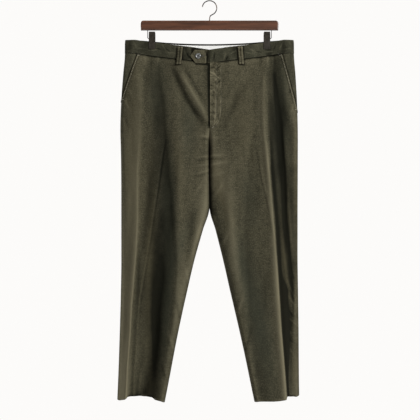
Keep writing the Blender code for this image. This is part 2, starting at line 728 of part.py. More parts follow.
def tube(name, points, radius, resolution, material):
    """A round wire through the points, closed at both ends."""
    curve = bpy.data.curves.new(name, "CURVE")
    curve.dimensions = "3D"
    curve.bevel_depth = radius
    curve.bevel_resolution = resolution
    curve.use_fill_caps = True
    spline = curve.splines.new("POLY")
    spline.points.add(len(points) - 1)
    for point, place in zip(spline.points, points):
        point.co = (*place, 1.0)
    curve.materials.append(material)
    obj = bpy.data.objects.new(name, curve)
    bpy.context.collection.objects.link(obj)
    return obj


def hanger_hook(material):
    """A round hook whose arc turns back into an upright stem."""
    centre_z = WIRE_RADIUS - HOOK_RADIUS
    arc_end = math.radians(-58)
    points = []
    for angle in np.linspace(math.radians(172), arc_end, 30):
        points.append((HOOK_RADIUS * math.cos(angle), 0.0, centre_z + HOOK_RADIUS * math.sin(angle)))
    start = Vector(points[-1])
    heading = Vector((math.sin(arc_end), 0, -math.cos(arc_end)))
    end = Vector((0, 0, BAR_TOP + GAP))
    curl, drop = start + heading * 0.010, end + Vector((0, 0, 0.016))
    for t in np.linspace(0, 1, 11)[1:]:
        place = start * (1 - t) ** 3 + curl * 3 * t * (1 - t) ** 2 + drop * 3 * t * t * (1 - t) + end * t**3
        points.append(tuple(place))
    return tube("hanger_hook", points, WIRE_RADIUS, 2, material)


def clip_jaw(name, centre_x, facing, inside, material):
    """A flat plate that is straight at the cloth and leans out at its handle."""
    rows = []
    for z, out in JAW_LEAN:
        y = facing * (inside + out + JAW_THICKNESS)
        half = CLIP_WIDTH / 2 - (JAW_NARROWER if z == JAW_TOP else 0.0)
        rows.append([(centre_x + half * k, y, z) for k in (-1.0, -0.5, 0.5, 1.0)])
    points = np.array(rows)
    normals = np.zeros_like(points)
    normals[:, :, 1] = facing
    return wall(name, points, normals, JAW_THICKNESS, material)


def barrel(name, centre_x, y, material):
    """The spring's barrel between the jaws."""
    bm = bmesh.new()
    bmesh.ops.create_cone(
        bm, cap_ends=True, segments=14, radius1=BARREL_RADIUS, radius2=BARREL_RADIUS, depth=BARREL_LENGTH
    )
    turn = Vector((0, 0, 1)).rotation_difference(Vector((1, 0, 0))).to_matrix()
    bmesh.ops.rotate(bm, verts=bm.verts, cent=(0, 0, 0), matrix=turn)
    bmesh.ops.translate(bm, verts=bm.verts, vec=(centre_x, y, PIVOT_Z))
    return finish(name, bm, material)


def clip(side, metal, steel):
    """Two jaws that pinch the waistband, the barrel between them and the link to the bar."""
    sign = SIDES[side]
    x = sign * CLIP_X
    front_inside = FRONT_PINCHED + BAND_PROUD + 1.5 * GAP
    back_inside = BACK_PINCHED + BAND_PROUD + 1.5 * GAP
    clip_jaw(f"clip_{side}_front_jaw", x, -1.0, front_inside, metal)
    clip_jaw(f"clip_{side}_back_jaw", x, 1.0, back_inside, metal)
    middle = (back_inside - front_inside) / 2
    barrel(f"clip_{side}_barrel", x, middle, steel)
    far = sign * LINK_X
    near = x + sign * (BARREL_LENGTH / 2 + GAP)
    points = [(far, middle, BAR_BOTTOM - GAP), (far, middle, (BAR_BOTTOM + PIVOT_Z) / 2)]
    for angle in np.linspace(0, math.pi / 2, 7):
        turned_x = far - sign * LINK_BEND * (1 - math.cos(angle))
        points.append((turned_x, middle, PIVOT_Z + LINK_BEND * (1 - math.sin(angle))))
    points.append((near, middle, PIVOT_Z))
    tube(f"clip_{side}_link", points, LINK_RADIUS, 2, steel)


# ---- Materials and assembly ----
def principled(name, colour, roughness, metallic=0.0):
    material = bpy.data.materials.new(name)
    material.use_nodes = True
    shader = material.node_tree.nodes["Principled BSDF"]
    shader.inputs["Base Color"].default_value = (*colour, 1.0)
    shader.inputs["Roughness"].default_value = roughness
    shader.inputs["Metallic"].default_value = metallic
    return material


def main():
    for obj in list(bpy.data.objects):
        bpy.data.objects.remove(obj, do_unlink=True)
    corduroy = principled("corduroy", (0.052, 0.050, 0.033), 0.90)
    white = principled("white_lining", (0.78, 0.77, 0.74), 0.80)
    pearl = principled("grey_pearl", (0.22, 0.22, 0.20), 0.35)
    wood = principled("dark_wood", (0.085, 0.035, 0.022), 0.45)
    bronze = principled("dark_bronze", (0.10, 0.085, 0.07), 0.40, 1.0)
    steel = principled("dark_steel", (0.16, 0.15, 0.14), 0.40, 1.0)
    laid_on = []
    for side in SIDES:
        laid_on.append(front_panel(side, corduroy))
        laid_on.append(back_panel(side, corduroy))
        laid_on.append(waistband_front(side, corduroy))
        pocket_facing(side, corduroy)
    laid_on.append(waistband_back(corduroy))
    waistband_lining(white)
    tree = skin(laid_on)
    tab = extension_tab(tree, corduroy)
    waist_button(skin([tab]), pearl)
    fly_placket(tree, corduroy)
    for row in BELT_LOOPS:
        belt_loop(dict(zip(LOOP_COLUMNS, row)), tree, corduroy)
    hanger_bar(wood)
    hanger_hook(bronze)
    for side in SIDES:
        clip(side, bronze, steel)


main()
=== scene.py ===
# %% [markdown]
# # Corduroy trousers on a clip hanger
# These are straight-leg needlecord trousers, hung by the waistband from a wooden bar with two steel
# clips. A packed model already holds the plain solids, all in metres, with +Z up and the front facing -Y.
# This file dresses them: it lays fine cloth over the plain panels, sews them, and gives every part a
# finish made from nodes. We start by loading the packed model.

# %% Load the packed model
import json
import math

import bmesh
import bpy
import numpy as np
from mathutils import Matrix, Vector
from mathutils.bvhtree import BVHTree

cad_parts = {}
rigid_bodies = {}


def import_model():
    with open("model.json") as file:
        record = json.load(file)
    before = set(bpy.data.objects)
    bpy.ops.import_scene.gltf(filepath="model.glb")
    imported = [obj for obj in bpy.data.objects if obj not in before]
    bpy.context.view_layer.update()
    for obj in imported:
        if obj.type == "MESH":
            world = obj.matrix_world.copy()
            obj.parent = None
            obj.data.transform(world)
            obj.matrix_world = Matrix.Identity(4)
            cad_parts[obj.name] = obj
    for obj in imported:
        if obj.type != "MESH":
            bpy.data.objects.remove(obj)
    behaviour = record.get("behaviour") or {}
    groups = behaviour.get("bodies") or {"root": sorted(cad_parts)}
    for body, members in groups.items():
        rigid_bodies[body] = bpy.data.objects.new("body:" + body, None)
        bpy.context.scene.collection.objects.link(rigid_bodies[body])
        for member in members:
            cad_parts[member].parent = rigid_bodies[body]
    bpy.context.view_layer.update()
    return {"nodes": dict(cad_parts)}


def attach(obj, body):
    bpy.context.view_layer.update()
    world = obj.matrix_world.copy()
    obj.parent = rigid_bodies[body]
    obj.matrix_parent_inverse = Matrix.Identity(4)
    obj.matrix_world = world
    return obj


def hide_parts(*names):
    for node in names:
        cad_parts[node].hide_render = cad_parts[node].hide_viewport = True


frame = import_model()

# %% [markdown]
# ## Camera
# A garment is usually drawn square on, so that its outline is true. The camera stands level and far back
# with a long lens, which keeps perspective small. It is aimed a little below the middle of the thighs.

# %% Camera
CAMERA_DISTANCE = 3.2
VIEW_CENTRE = (0.00145, -0.6055)
VIEW_WIDTH = 1.218
SENSOR = 36.0

camera_data = bpy.data.cameras.new("camera")
camera_data.sensor_width = SENSOR
camera_data.lens = SENSOR * CAMERA_DISTANCE / VIEW_WIDTH
camera = bpy.data.objects.new("camera", camera_data)
camera.location = (VIEW_CENTRE[0], -CAMERA_DISTANCE, VIEW_CENTRE[1])
camera.rotation_euler = (math.radians(90), 0, 0)
bpy.context.collection.objects.link(camera)
bpy.context.scene.camera = camera
print("lens", round(camera_data.lens, 1), "mm")

# %% [markdown]
# ## Studio
# Cord shows its folds by shadow, so one large soft lamp stands high on the right and in front, a weak one
# on the left, and one behind does the same for the back. A dim white sky fills the shadows. The sky is
# bright only where the camera looks straight at it, which gives a clean pale background without flattening
# the folds. The floor is a pale round board well below the hems.

# %% Studio
SKY_SEEN = (0.975, 0.965, 0.950)
SKY_FILL_COLOUR = (1.0, 0.995, 0.985)
SKY_FILL = 0.14
FLOOR_Z = -1.95
FLOOR_RADIUS = 3.3
# name, place, size, watts
LAMPS = (
    ("key", (2.80, -2.60, 1.30), 0.9, 200.0),
    ("left_fill", (-2.8, -2.4, -0.2), 2.0, 16.0),
    ("back_key", (-2.90, 2.50, 1.20), 1.1, 150.0),
)
LAMP_AIM = Vector((0.0, 0.0, -0.62))

scene = bpy.context.scene
scene.view_settings.view_transform = "Standard"
world = bpy.data.worlds.new("studio_sky")
world.use_nodes = True
scene.world = world
sky = world.node_tree
seen = sky.nodes["Background"]
seen.inputs["Color"].default_value = (*SKY_SEEN, 1.0)
fill = sky.nodes.new("ShaderNodeBackground")
fill.inputs["Color"].default_value = (*SKY_FILL_COLOUR, 1.0)
fill.inputs["Strength"].default_value = SKY_FILL
ray = sky.nodes.new("ShaderNodeLightPath")
either = sky.nodes.new("ShaderNodeMixShader")
sky.links.new(ray.outputs["Is Camera Ray"], either.inputs["Fac"])
sky.links.new(fill.outputs["Background"], either.inputs[1])
sky.links.new(seen.outputs["Background"], either.inputs[2])
sky.links.new(either.outputs["Shader"], sky.nodes["World Output"].inputs["Surface"])

for name, place, size, watts in LAMPS:
    lamp = bpy.data.lights.new(name, "AREA")
    lamp.shape = "DISK"
    lamp.size = size
    lamp.energy = watts
    holder = bpy.data.objects.new(name, lamp)
    holder.location = place
    holder.rotation_euler = (LAMP_AIM - Vector(place)).to_track_quat("-Z", "Y").to_euler()
    bpy.context.collection.objects.link(holder)

floor_mesh = bpy.data.meshes.new("floor")
bm = bmesh.new()
bmesh.ops.create_circle(bm, cap_ends=True, segments=96, radius=FLOOR_RADIUS)
bmesh.ops.translate(bm, verts=bm.verts, vec=(0, 0, FLOOR_Z))
bm.to_mesh(floor_mesh)
bm.free()
floor = bpy.data.objects.new("floor", floor_mesh)
bpy.context.collection.objects.link(floor)
print("lamps", [row[0] for row in LAMPS], "floor at", FLOOR_Z)

# %% [markdown]
# ## The cloth surface
# A hung pair of trousers has few shapes: sections that change slowly down the leg, a waist that sags
# between the clips, and folds that run down from them. We write those as short tables and let one
# function turn them into a surface. Right and left are the wearer's: the right leg is at -X. A level is a
# height down the cloth before the waist sags. The tables are in millimetres, and what reads them turns
# lengths into metres. Sculpting or a simulation could make such a surface too, but the tables keep every
# fold where it is meant to be, and the solids were made from the same ones.

# %% Sizes of the cloth
GAP = 0.0004  # between two pieces that meet
BAND_PROUD = 0.0005  # the waistband stands this much out of the panels
BAND_HEIGHT = 0.0385
BAND_TOP = -0.1134
WAIST_SEAM = BAND_TOP - BAND_HEIGHT
CROTCH = -0.4170
CROTCH_CURVE_TOP = -0.3100
HEM = -1.1520
MEETING = 0.0012  # the panels reach this far past the centre, so that no light comes through
MEETING_LEVELS = (-0.6080, -0.5950)
SIDES = {"right": -1.0, "left": 1.0}
FACES = {"front": -1.0, "back": 1.0}
print("cloth from", BAND_TOP, "down to", HEM)

# %% Sections
# One row for each section down the garment. outer and inner are distances from the centre line,
# outer_back and inner_back say how far behind the hook the side seam and the inseam lie, front and back
# are the depths of the cloth before and behind the line between them, roll is the radius of the rolled
# side, and crease is the front crease's place as a share of the way from the inside to the outside.
SECTION_COLUMNS = ("level", "outer", "inner", "outer_back", "inner_back", "front", "back", "roll", "crease")
SECTIONS = {
    "right": (
        (-113.4, 244, 0.2, 0, 0, 21, 14, 6, 0.50),
        (-125, 245, 0.2, 0, 0, 21, 14, 6, 0.50),
        (-151, 245.2, 0.2, 0, 0, 22, 15, 6, 0.50),
        (-211, 250.2, 0.2, 0, 0, 27, 19, 8, 0.50),
        (-281, 255.7, 0.2, 2, 0, 31, 24, 10, 0.49),
        (-374, 258.8, 0.3, 4, 0, 34, 28, 12, 0.49),
        (-432, 257.5, 0.3, 5, 0, 35, 31, 13, 0.50),
        (-600, 256.3, 0.6, 6, -4, 35, 36, 14, 0.58),
        (-663.5, 256.3, 19.1, 6, -5, 34, 38, 14, 0.63),
        (-750.5, 256.3, 43.6, 7, -7, 33, 40, 14, 0.66),
        (-837.5, 257.6, 64, 8, -10, 30, 42, 14, 0.69),
        (-953.5, 260.8, 89.3, 10, -16, 24, 46, 13, 0.69),
        (-1069.5, 264.9, 111.9, 13, -24, 17, 52, 12, 0.69),
        (-1156, 268.8, 129, 15, -30, 12, 56, 10, 0.66),
    ),
    "left": (
        (-113.4, 243.5, 0.2, 0, 0, 21, 14, 6, 0.55),
        (-125, 244.5, 0.2, 0, 0, 21, 14, 6, 0.55),
        (-151, 244.7, 0.2, 0, 0, 22, 15, 6, 0.56),
        (-211, 249.2, 0.2, 0, 0, 27, 19, 8, 0.60),
        (-281, 253.5, 0.2, 2, 0, 31, 24, 10, 0.62),
        (-374, 256.4, 0.3, 4, 0, 35, 28, 12, 0.66),
        (-432, 256.7, 0.3, 7, 0, 36, 31, 13, 0.67),
        (-600, 256.7, 0.6, 14, -2, 37, 36, 14, 0.70),
        (-663.5, 257, 17.5, 18, -4, 38, 38, 14, 0.715),
        (-750.5, 257.3, 39.4, 22, -6, 40, 40, 14, 0.715),
        (-837.5, 258.9, 59.2, 27, -9, 42, 43, 13, 0.71),
        (-953.5, 261.1, 86.2, 34, -13, 45, 47, 12, 0.71),
        (-1069.5, 262.5, 111.7, 42, -17, 48, 50, 11, 0.71),
        (-1156, 264.2, 130, 50, -20, 50, 52, 10, 0.71),
    ),
}

# How far each hem point is above the hem level, at shares of the way from the inseam to the side seam.
HEM_COLUMNS = ("share", "rise")
HEM_RISE = {
    "right": ((0.0, -4), (0.30, 1), (0.50, 3), (0.75, 2), (1.0, -2)),
    "left": ((0.0, -5), (0.35, -1), (0.71, 4), (0.85, 1), (1.0, 0)),
}

print("sections", {side: len(SECTIONS[side]) for side in SIDES})

# %% Front folds
# One row for each point down a fold's line. x is its distance from the centre line, height is how far it
# stands out of the panel, in is its half-width towards the inseam and out its half-width the other way.
FOLD_COLUMNS = ("level", "x", "height", "in", "out")
FRONT_FOLDS = {
    "right": {
        "outer_ridge": (
            (-176, 193, 0, 20, 28), (-315, 193, 4, 20, 28), (-533, 199, 8, 20, 28), (-707, 210, 10, 19, 26),
            (-852, 222, 12, 16, 22), (-1012, 232, 14, 12, 18), (-1156, 241, 17, 9, 14),
        ),
        "middle_trough": (
            (-151, 155, -2, 20, 20), (-272, 143, -8, 24, 22), (-374, 140, -10, 26, 24),
            (-519, 127, -12, 26, 24), (-722, 127, -12, 24, 24), (-867, 147, -13, 23, 24),
            (-1012, 167, -20, 23, 24), (-1156, 188, -34, 28, 28),
        ),
        "inner_ridge": (
            (-345, 77, 0, 16, 16), (-519, 86, 6, 17, 17), (-693, 86, 7, 17, 17), (-867, 97, 5, 16, 16),
            (-1012, 120, 0, 16, 16),
        ),
        "fly_trough": (
            (-176, 112, -1, 12, 12), (-229, 92, -6, 12, 13), (-301, 57, -7, 12, 12), (-350, 24, -4, 11, 12),
            (-380, 10, 0, 10, 10),
        ),
    },
    "left": {
        "crease_ridge": (
            (-170, 161, 0, 28, 14), (-230, 161, 6, 30, 13), (-368, 170, 9, 32, 12), (-577, 181, 11, 34, 12),
            (-867, 203, 12, 36, 13), (-1156, 225, 15, 40, 13),
        ),
        "outer_trough": (
            (-170, 196, -3, 13, 13), (-345, 203, -9, 13, 15), (-490, 203, -10, 14, 15),
            (-577, 214, -8, 12, 14), (-751, 224, -5, 10, 12), (-1156, 243, -3, 8, 10),
        ),
        "inner_ridge": (
            (-432, 54, 0, 17, 17), (-548, 59, 6, 17, 18), (-751, 66, 6, 17, 18), (-925, 103, 0, 17, 17),
        ),
        "fly_trough": (
            (-214, 115, 0, 12, 12), (-243, 90, -4, 12, 12), (-301, 64, -5, 12, 12), (-350, 40, -3, 12, 12),
            (-388, 20, 0, 12, 12),
        ),
    },
}
print("front folds", {side: len(FRONT_FOLDS[side]) for side in SIDES})

# %% Back folds
BACK_FOLDS = {
    "right": {
        "crease_ridge": (
            (-430, 128, 0, 30, 26), (-600, 136, 6, 30, 26), (-860, 158, 9, 26, 22),
            (-1156, 196, 13, 22, 18),
        ),
        "seat_trough": (
            (-240, 150, 0, 22, 26), (-330, 122, -6, 22, 26), (-450, 78, -8, 20, 24), (-560, 54, 0, 18, 20),
        ),
        "side_trough": (
            (-520, 205, 0, 18, 16), (-700, 206, -8, 18, 16), (-930, 214, -6, 16, 14),
            (-1100, 226, 0, 14, 12),
        ),
    },
    "left": {
        "crease_ridge": (
            (-400, 130, 0, 30, 26), (-620, 142, 7, 30, 26), (-900, 168, 10, 26, 22),
            (-1156, 204, 14, 22, 16),
        ),
        "seat_trough": (
            (-220, 138, 0, 22, 24), (-310, 112, -7, 20, 24), (-420, 74, -7, 20, 22), (-520, 48, 0, 18, 18),
        ),
        "side_trough": (
            (-580, 198, 0, 18, 16), (-760, 200, -7, 18, 16), (-980, 212, -5, 16, 14),
        ),
    },
}

FOLDS = {"front": FRONT_FOLDS, "back": BACK_FOLDS}
print("back folds", {side: len(BACK_FOLDS[side]) for side in SIDES})

# %% Reading the tables
# the columns that are shares, degrees or strengths, and not lengths
UNITLESS = ("share", "crease", "tilt", "strength")


def column(table, names, wanted):
    """One named column of a table as an array, with its lengths turned from millimetres into metres."""
    values = np.array([row[names.index(wanted)] for row in table], float)
    return values if wanted in UNITLESS else values / 1000


def read_down(table, names, z):
    """Every column of a table at heights z, and which of those heights lie within the table."""
    levels = column(table, names, "z")
    at = {name: np.interp(-z, -levels, column(table, names, name)) for name in names}
    return at, (z <= levels[0]) & (z >= levels[-1])


def near(distance, reach):
    """1 at no distance, falling off softly on both sides of it."""
    return np.exp(-((distance / reach) ** 2))


def fading(distance, reach):
    """1 at an edge, fading away from it."""
    return np.exp(-distance / reach)


def eased(level, levels, values):
    """A value at a level, on a smooth curve through the table's rows that never overshoots them."""
    x, y = -levels, values
    steps = np.diff(y) / np.diff(x)
    slope = np.gradient(y, x)
    before, after = np.append(steps[0], steps), np.append(steps, steps[-1])
    limit = 3 * np.minimum(np.abs(before), np.abs(after))
    slope = np.where(before * after > 0, np.clip(slope, -limit, limit), 0.0)
    i = int(np.clip(np.searchsorted(x, -level) - 1, 0, len(x) - 2))
    span = x[i + 1] - x[i]
    t = float(np.clip((-level - x[i]) / span, 0.0, 1.0))
    start = (1 + 2 * t) * (1 - t) ** 2 * y[i] + t * (1 - t) ** 2 * span * slope[i]
    return start + t * t * (3 - 2 * t) * y[i + 1] + t * t * (t - 1) * span * slope[i + 1]


def ramp(value, low, high):
    """0 at low, 1 at high, and smooth between them."""
    t = np.clip((value - low) / (high - low), 0.0, 1.0)
    return t * t * (3 - 2 * t)


def section(side, level):
    """The named values of the section at a level."""
    table = SECTIONS[side]
    levels = column(table, SECTION_COLUMNS, "level")
    values = {name: eased(level, levels, column(table, SECTION_COLUMNS, name)) for name in SECTION_COLUMNS}
    values["inner"] -= MEETING * ramp(level, *MEETING_LEVELS)
    return values


print("hems reach out to", [round(float(section(side, HEM)["outer"]), 4) for side in SIDES])

# %% Where the clips hold
CLIP_X = 0.1665
CLIP_FLAT = 0.0160
PINCH_INWARD = 0.1150
PINCH_OUTWARD = 0.0600
PINCH_LEVELS = (-0.3000, -0.1480)
BACK_PULLED_FLAT = 0.86


def pinch(face, x, level):
    """How far the clips press the cloth flat: 1 under a clip."""
    beside = np.abs(x) - CLIP_X
    inward = 1 - ramp(-beside, CLIP_FLAT, PINCH_INWARD)
    outward = 1 - ramp(beside, CLIP_FLAT, PINCH_OUTWARD)
    across = np.where(beside < 0, inward, outward)
    if face == "back":
        across = np.where(beside < 0, np.maximum(inward, BACK_PULLED_FLAT), outward)
    return across * ramp(level, *PINCH_LEVELS)


print("pressed flat beside a clip", pinch("front", np.array([CLIP_X, CLIP_X - 0.05]), WAIST_SEAM).round(2))

# %% Depth of the cloth
FRONT_PINCHED = 0.0021
BACK_PINCHED = 0.0033
FOLD_EDGE = 0.0140
BACK_CREASE = 0.55
LENS_CLOSED = -0.6200


def closing(level):
    """0 above the crotch curve, where the section is open at the centre, and 1 below the crotch."""
    return float(np.clip((CROTCH_CURVE_TOP - level) / (CROTCH_CURVE_TOP - CROTCH), 0.0, 1.0))


def fold_height(face, side, x, level):
    """The folds' height at a distance x from the centre line."""
    height = np.zeros_like(x)
    for table in FOLDS[face][side].values():
        levels = column(table, FOLD_COLUMNS, "level")
        if not levels[-1] <= level <= levels[0]:
            continue
        at = {name: eased(level, levels, column(table, FOLD_COLUMNS, name)) for name in FOLD_COLUMNS}
        beside = x - at["x"]
        width = np.where(beside < 0, at["in"], at["out"])
        height += at["height"] * near(beside, width)
    return height


def depth(face, side, x, level, proud=0.0):
    """The y of the cloth's outer face at distances x from the centre line."""
    s = section(side, level)
    outer = s["outer"] + proud
    span = outer - s["inner"]
    share = np.clip((x - s["inner"]) / span, 0.0, 1.0)
    from_side = np.clip((outer - x) / s["roll"], 0.0, 1.0)
    from_inside = np.clip((x - s["inner"]) / s["roll"], 0.0, 1.0)
    closed = closing(level)
    crease = s["crease"] if face == "front" else BACK_CREASE
    tapered = ramp(-level, -CROTCH_CURVE_TOP, -LENS_CLOSED)
    inside = 1 - tapered * (1 - np.clip(share / crease, 0.0, 1.0))
    outside = np.clip((1 - share) / (1 - crease), 0.0, 1.0)
    lens = 1 - (1 - np.where(share < crease, inside, outside)) ** 2
    side_cap = np.sqrt(np.clip(1 - (1 - from_side) ** 2, 0.0, 1.0))
    inner_cap = np.sqrt(np.clip(1 - (closed * (1 - from_inside)) ** 2, 0.0, 1.0))
    full = s["roll"] + (s[face] - s["roll"]) * lens
    edges = ramp(outer - x, 0.0, FOLD_EDGE) * ramp(x - s["inner"], 0.0, FOLD_EDGE)
    pressed = pinch(face, x, level)
    folds = fold_height(face, side, x, level) * edges * (1 - pressed)
    held = FRONT_PINCHED if face == "front" else BACK_PINCHED
    out = full * (1 - pressed) + held * pressed + folds
    out = out * side_cap * inner_cap + GAP / 2 + proud
    line = s["inner_back"] + (s["outer_back"] - s["inner_back"]) * share
    return line - out if face == "front" else line + out


print("the left front stands", depth("front", "left", np.array([0.1]), CROTCH).round(4), "from the hook")

# %% Heights of the cloth
FRONT_SAG = 0.0300
FRONT_SAG_REACH = 0.2150
FRONT_SAG_CURVE = 1.05
BACK_SAG = 0.0107
BACK_SAG_REACH = 0.2000
SAG_ENDS = -0.4000
HEM_RISE_ENDS = -1.0


def sag(face, x):
    """How far the waist drops between the clips at a distance x from the centre line."""
    if face == "front":
        return FRONT_SAG * np.clip(1 - x / FRONT_SAG_REACH, 0.0, 1.0) ** FRONT_SAG_CURVE
    return BACK_SAG * np.clip(1 - (x / BACK_SAG_REACH) ** 2, 0.0, 1.0)


def even_hem(side, x, level):
    """How far the hem's even curve lies above the hem level at distances x from the centre line."""
    s, hem = section(side, level), HEM_RISE[side]
    share = np.clip((x - s["inner"]) / (s["outer"] - s["inner"]), 0.0, 1.0)
    return np.interp(share, column(hem, HEM_COLUMNS, "share"), column(hem, HEM_COLUMNS, "rise"))


def heights(face, side, x, level):
    """The z of the cloth at distances x from the centre line."""
    rise = even_hem(side, x, level) * (1 - ramp(level, HEM, HEM_RISE_ENDS))
    return level - sag(face, x) * ramp(level, SAG_ENDS, WAIST_SEAM) + rise


def row_points(face, side, xs, level, proud=0.0):
    """The points of one row, as an array, on the given side of the centre line."""
    x = np.asarray(xs, float)
    y = depth(face, side, x, level, proud)
    return np.stack([SIDES[side] * x, y, heights(face, side, x, level)], axis=1)


print("a point of the left front", row_points("front", "left", [0.1], CROTCH).round(4))

# %% [markdown]
# ## Finer forms
# Over the main folds lie smaller ones: a pressed crease, soft ripples down the legs, short creases where
# the cloth bends at the crotch, and puckers where a seam draws it in. Long ones are lines with their own
# depth at each height. Short ones are dabs, each a soft ridge with a place, a length, a width and a tilt.
# A little smooth noise keeps the cloth between them from looking ironed.

# %% Long lines on the front
# read like the folds: the height is negative where the line is a groove
LINE_COLUMNS = ("z", "x", "height", "in", "out")
FRONT_LINES = {
    "right": (
        # pressed crease
        ((-385, 126, 0, 3, 3), (-440, 136, 0.4, 3, 3), (-519, 146.5, 0.4, 3, 3), (-690, 172, 0.6, 3, 3),
         (-861, 201, 0.9, 3, 3), (-1093, 218.5, 1.1, 3, 3), (-1160, 219.5, 1.1, 3, 3)),
        ((-385, 122.5, 0, 3, 3), (-440, 132.5, -0.8, 3, 3), (-519, 143, -1, 3, 3),
         (-690, 168.5, -0.8, 3, 3), (-861, 197.5, -0.6, 3, 3), (-1000, 208.5, 0, 3, 3)),
        # raised side of the leg, painted paler
        ((-300, 236, 0, 20, 16), (-490, 232, 1.8, 18, 18), (-780, 242, 2, 12, 20), (-954, 252, 2.6, 10, 20),
         (-1160, 258, 3.4, 14, 20)),
        # soft trough outside the pressed crease
        ((-430, 160, 0, 12, 12), (-560, 172, -0.8, 12, 12), (-800, 207.5, -0.9, 9, 9),
         (-1160, 227.5, -1.4, 7, 7)),
        # edge of the outer ridge, sharp towards the crease
        ((-190, 205, 0, 12, 16), (-287, 206, 0.9, 12, 16), (-374, 204.5, 1.3, 10, 16),
         (-490, 209, 1.7, 6, 14), (-634, 208, 2, 3, 14), (-722, 211.3, 2.4, 3, 14),
         (-780, 216.8, 2.7, 3, 13), (-838, 221.2, 2.8, 3, 13), (-896, 226, 3, 3, 12),
         (-954, 229.3, 3.2, 3, 12), (-1012, 233.7, 3.4, 3, 12), (-1070, 238.5, 3.8, 3, 11),
         (-1160, 242, 3.6, 3, 11)),
        # ridge beside the fly trough
        ((-180, 98, 0, 8, 8), (-240, 67, 2.5, 8, 8), (-314, 22, 2.3, 7, 8), (-350, 6, 1.2, 6, 8)),
        # the trough itself and a smaller one above the ridge
        ((-165, 118, 0, 7, 7), (-214, 98, -1.3, 7, 7), (-287, 63.5, -1.1, 7, 7), (-350, 28, -1.1, 7, 7),
         (-400, 8, 0, 7, 7)),
        ((-185, 76, 0, 5, 5), (-214, 62, -1.1, 5, 5), (-260, 36, -1.1, 5, 5), (-310, 6, 0, 5, 5)),
        # trough inside the inner ridge
        ((-560, 48, 0, 10, 10), (-640, 50, -1.4, 10, 10), (-740, 58, -1.4, 10, 10), (-840, 74, 0, 10, 10)),
        # rounded inner edge of the leg, in painted light
        ((-440, 8, 0, 10, 12), (-540, 10, 1.6, 10, 12), (-600, 13, 2.8, 10, 13), (-664, 30, 2.6, 10, 12),
         (-750, 58, 1.8, 10, 9), (-860, 86, 1, 9, 6), (-1000, 116, 0.8, 6, 6), (-1160, 140, 0.8, 6, 6)),
    ),
    "left": (
        # pressed crease, a pale line with a dark one inside it
        ((-400, 133.5, 0, 3, 3), (-450, 143, 0.8, 3, 3), (-519, 153, 1.2, 3, 3), (-577, 168, 1.2, 3, 3),
         (-649, 180, 1.2, 3, 3), (-690, 187, 0.8, 3, 3)),
        ((-400, 130, 0, 2.8, 2.8), (-450, 138.5, -1, 2.8, 2.8), (-519, 148.5, -1, 2.8, 2.8),
         (-577, 163.5, -0.8, 2.8, 2.8), (-649, 175.5, -0.6, 2.8, 2.8), (-690, 183, 0, 2.8, 2.8)),
        # edge of the main ridge, sharp towards the side seam
        ((-175, 158, 0, 5, 4), (-287, 156, 0.3, 5, 4), (-374, 157, 0.7, 6, 4), (-490, 169, 2.8, 7, 3),
         (-634, 182, 2.6, 6, 3), (-780, 193.2, 3.6, 9, 2.4), (-954, 204.4, 3.8, 8, 2.4),
         (-1099, 216.3, 4, 8, 2.4), (-1160, 220.8, 3.6, 8, 2.4)),
        # deepest line of the recess, which wanders out from the waist
        ((-175, 186, 0, 6, 6), (-214, 187, -1.4, 6, 6), (-287, 193.5, -2, 7, 6), (-374, 204, -2, 8, 6),
         (-490, 215.5, -2, 8, 5), (-634, 218, -1.8, 6, 5), (-720, 224, 0, 6, 5)),
        # foot of the ridge
        ((-330, 172, 0, 5, 8), (-420, 176, -1.8, 4, 8), (-490, 179, -3, 3, 9), (-634, 191.5, -2.4, 3, 8),
         (-780, 201.2, -3.8, 3, 6), (-954, 211.8, -4, 3, 7), (-1099, 223, -3.4, 3, 5),
         (-1160, 226.8, -2.8, 3, 4)),
        # creases that cross the recess
        ((-520, 226, 0, 5, 5), (-600, 229, 1.2, 5, 5), (-700, 238, 1, 5, 5), (-760, 245, 0, 5, 5)),
        ((-640, 206, 0, 5, 5), (-740, 216, 1.1, 5, 5), (-860, 232, 1.1, 5, 5), (-920, 243, 0, 5, 5)),
        ((-620, 226, 0, 4, 4), (-720, 231, -1.2, 4, 4), (-840, 240, -1, 4, 4), (-900, 247, 0, 4, 4)),
        # inner ridge, from the crotch down
        ((-400, 20, 0, 10, 16), (-490, 26, 1.6, 11, 18), (-634, 61.5, 1.3, 11, 14), (-780, 78, 1, 11, 14),
         (-920, 102, 0, 11, 14)),
        # inner edge of the leg, sunk a little and in painted shade
        ((-590, 6, 0, 6, 8), (-634, 21, -2, 6, 10), (-780, 52, -1.4, 6, 8), (-954, 91, -0.9, 6, 7),
         (-1160, 134, -0.7, 6, 7)),
    ),
}
print("front lines", {side: len(FRONT_LINES[side]) for side in SIDES})

# %% Long lines on the back
BACK_LINES = {
    "right": (
        ((-430, 132, 0, 3, 3), (-520, 137, 1.1, 3, 3), (-860, 160, 1.3, 3, 3), (-1160, 198, 1.3, 3, 3)),
        ((-250, 60, 0, 12, 12), (-340, 44, -2.8, 12, 12), (-430, 26, 0, 10, 10)),
        ((-560, 86, 0, 12, 12), (-700, 92, 3, 12, 12), (-900, 124, 0, 12, 12)),
    ),
    "left": (
        ((-400, 134, 0, 3, 3), (-500, 140, 1.1, 3, 3), (-900, 170, 1.3, 3, 3), (-1160, 206, 1.3, 3, 3)),
        ((-240, 72, 0, 12, 12), (-330, 50, -3, 12, 12), (-420, 30, 0, 10, 10)),
        ((-600, 92, 0, 12, 12), (-760, 104, 2.8, 12, 12), (-960, 140, 0, 12, 12)),
    ),
}


LINES = {"front": FRONT_LINES, "back": BACK_LINES}


